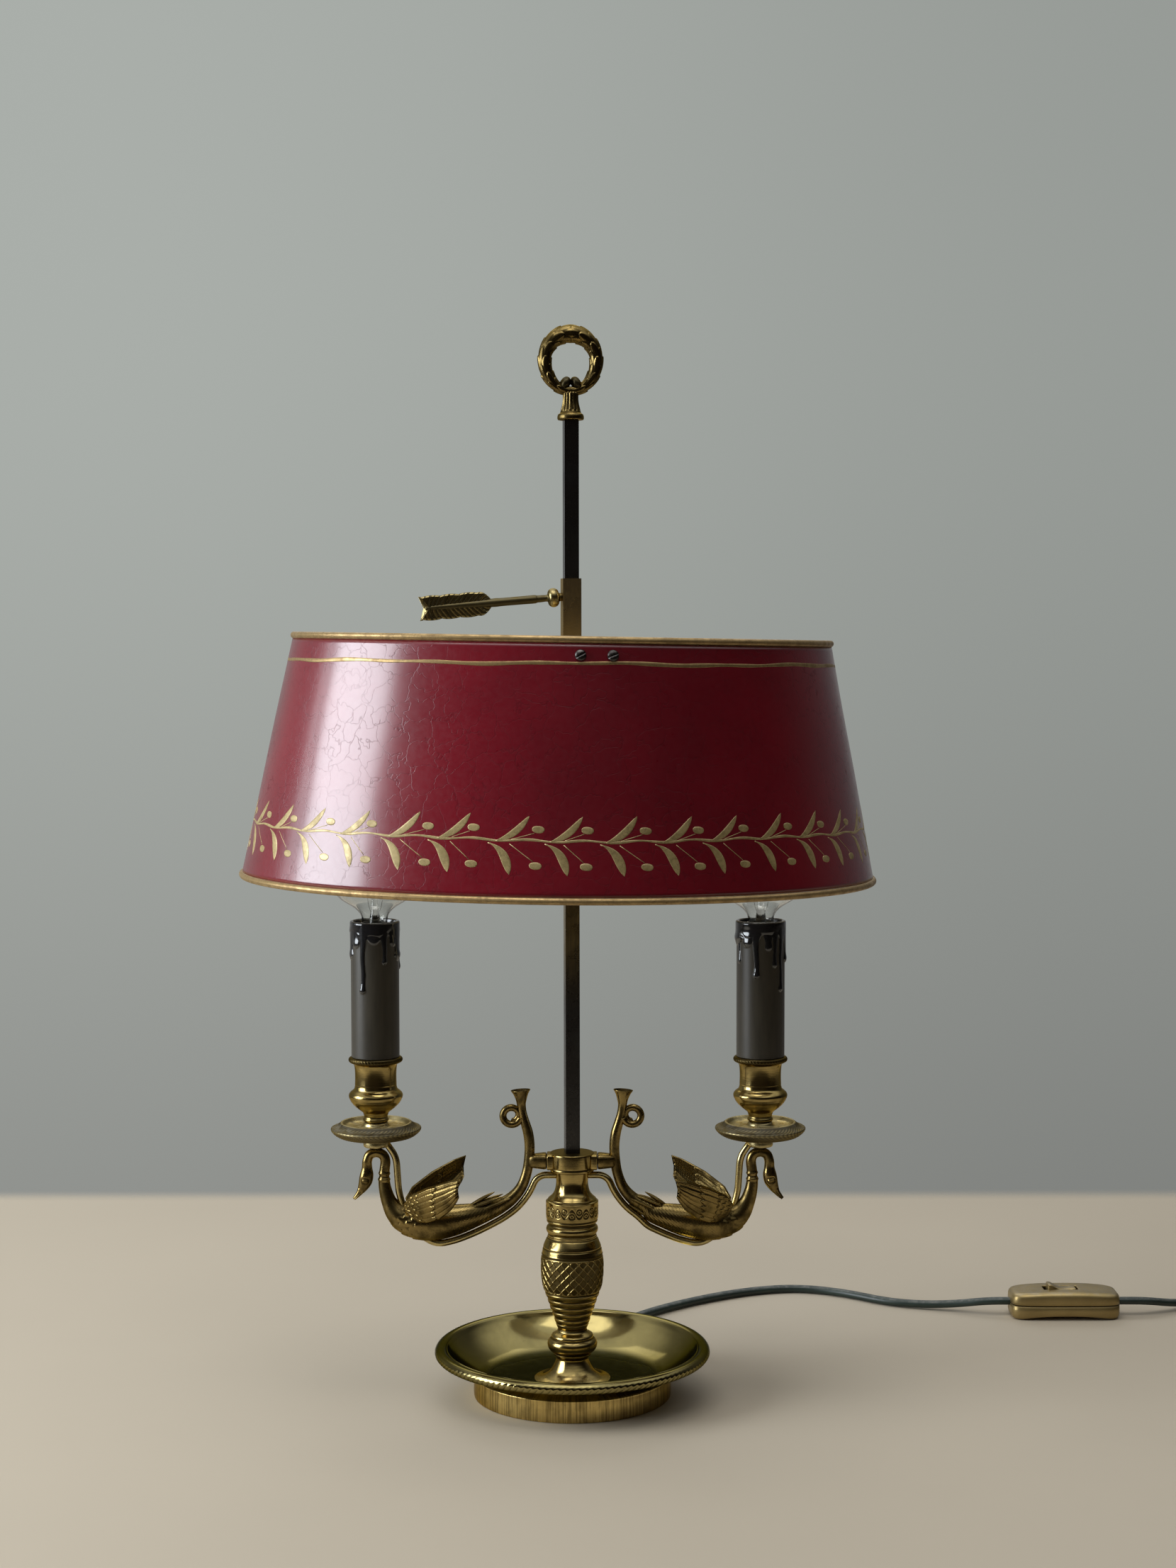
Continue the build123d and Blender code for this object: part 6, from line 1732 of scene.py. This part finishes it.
def makeShadeScrews():
    # slotted domes: height falls as a circle does towards the edge, the slot is pressed in across it
    setup = shadeSetup
    height = setup["fullHeight"] - setup["screwBelow"]
    along, head = setup["screwAlong"], setup["screwRadius"]
    a, b = halfWidths(height)
    tilt = np.arctan(setup["halfShort"][1])
    edge = along - head
    dip = b * (1 - np.sqrt(1 - (edge / a) ** 2))
    grids, shades = [], []
    for beside in (-1, 1):
        out = shadeWide * (beside * np.cos(tilt)) + shadeUp * np.sin(tilt)
        for place, slant in ((-along, 28), (along, 22)):
            outOf = beside * (b - dip + 0.3 / np.cos(tilt))
            seat = shadeFoot + place * shadeLong + outOf * shadeWide + height * shadeUp
            right = shadeLong * beside * -1
            over = np.cross(out, right)
            rows = np.array([(0.0, 1.4), (0.5, 1.39), (1.0, 1.33), (1.5, 1.2), (1.9, 1.02), (2.2, 0.82),
                             (2.42, 0.6), (2.56, 0.35), (head, 0.1), (head, -0.05), (1.5, -0.1), (1.5, -2.2),
                             (1.5, -4.8), (0.0, -4.8)])
            angle = circle(48)[None, :]
            x, y = rows[:, :1] * np.cos(angle), rows[:, :1] * np.sin(angle)
            turned = x * -np.sin(np.radians(slant)) + y * np.cos(np.radians(slant))
            slot = clamp((0.42 - np.abs(turned)) / 0.12) * (rows[:, 1:] > 0)
            z = rows[:, 1:] - 0.62 * slot * clamp(rows[:, 1:] / 0.8)
            grids.append((seat + x[..., None] * right + y[..., None] * over + z[..., None] * out, False))
            shades.append(slot + 0 * x)
    return buildPiece("shadeScrewHeads", grids, screwBlack, ("shade_screws",), shades,
                      "shade_carriage")


makeShell()
makeGoldLine()
makeVine()
makeShadeScrews()
print("shade ready")

# arrow: the screw that clamps the collar
arrowSetup = {
    "height": 396.0,
    "droop": 4.8,         # degrees
    "turn": rodTurn,
    "featherStart": 38.2,
    "featherLength": 36.4,
    "featherHalf": 6.1,
    "scallops": 4,
}


def makeArrow():
    # turned stem and knob, and a feathered vane of two halves with a ridge between them
    setup = arrowSetup
    droop, turn = np.radians(setup["droop"]), np.radians(setup["turn"])
    along = np.array([-np.cos(turn) * np.cos(droop), -np.sin(turn) * np.cos(droop), -np.sin(droop)])
    front = np.array([np.sin(turn), -np.cos(turn), 0.0])
    over = np.cross(front, along)
    origin = np.array([0.0, 0.0, setup["height"]])

    def place(out, high, near):
        # from lengths along, over and in front of the arrow to a point
        return origin + out[..., None] * along + high[..., None] * over + near[..., None] * front

    knob = np.linspace(0, np.pi, 15)
    profile = np.concatenate((
        [(3.85, 0.0), (3.85, 2.0), (6.0, 2.0)],
        np.stack((8.7 - 2.7 * np.cos(knob[1:-1]), 1.9 + 2.75 * np.sin(knob[1:-1]) ** 0.8), 1),
        [(11.5, 1.9), (11.8, 1.7), (13.0, 1.62), (15.0, 1.78), (16.9, 1.72), (17.2, 2.0), (18.4, 2.1),
         (24.0, 2.02), (34.0, 1.98), (37.0, 2.15), (41.0, 2.0), (52.0, 1.75), (68.0, 1.45), (71.4, 1.2),
         (71.9, 0.0)],
    ))
    angle = circle(32)[None, :]
    line = soften(profile, 2)
    stem = place(line[:, :1] + 0 * angle, line[:, 1:] * np.cos(angle), line[:, 1:] * np.sin(angle))
    # vane: edge height rises in a curve, then steps in scallops; barbs slant back from the ridge
    u = np.linspace(0, 1, 120)[:, None]
    v = np.linspace(-1, 1, 57)[None, :]
    rise = np.sin(clamp(u / 0.2) * np.pi / 2) ** 0.8
    cycle = u * setup["scallops"] * 1.02 + 0.12
    edgeLine = setup["featherHalf"] * rise * (0.90 + 0.10 * np.sin(np.pi * clamp(cycle % 1)) ** 0.6)
    swallow = 4.6 * (1 - np.abs(v) ** 0.9) * u**3
    out = setup["featherStart"] + u * setup["featherLength"] - swallow
    high = edgeLine * v
    lane = np.abs(v)
    barbs = np.abs(np.sin(np.pi * (u * 15 + 2.4 * lane)))
    step = (cycle + 0.55 * lane) % 1
    relief = 0.34 * barbs ** 0.7 + 0.55 * (1 - step) * clamp(lane * 2.4)
    dish = 1.1 * (1 - lane) ** 1.6 + 0.5 * lane**2
    thin = clamp((1 - lane) / 0.12) ** 0.6 * clamp(u / 0.04) ** 0.5 * clamp((1 - u) / 0.02) ** 0.5
    near = 0.18 + (0.45 + 0.5 * relief + 0.45 * dish) * thin
    faces = np.concatenate((place(out, high, near), place(out, high, -near)[:, ::-1]), 1)
    dark = clamp(1.1 * (1 - barbs) + 0.7 * gauss(step - 0.02, 0.06) + 0.5 * gauss(lane - 0.14, 0.06))
    dark = np.concatenate((dark, dark[:, ::-1]), 1)
    stemShade = clamp(0.75 - gauss(line[:, :1] - 8.4, 2.0) * 1.2) + 0 * angle
    return buildPiece("arrowKey", [(stem, False), (capped(faces), False)], arrowBronze,
                      ("arrow_key",), [stemShade, endsTwice(dark)], "arrow")


makeArrow()
print("arrow ready")
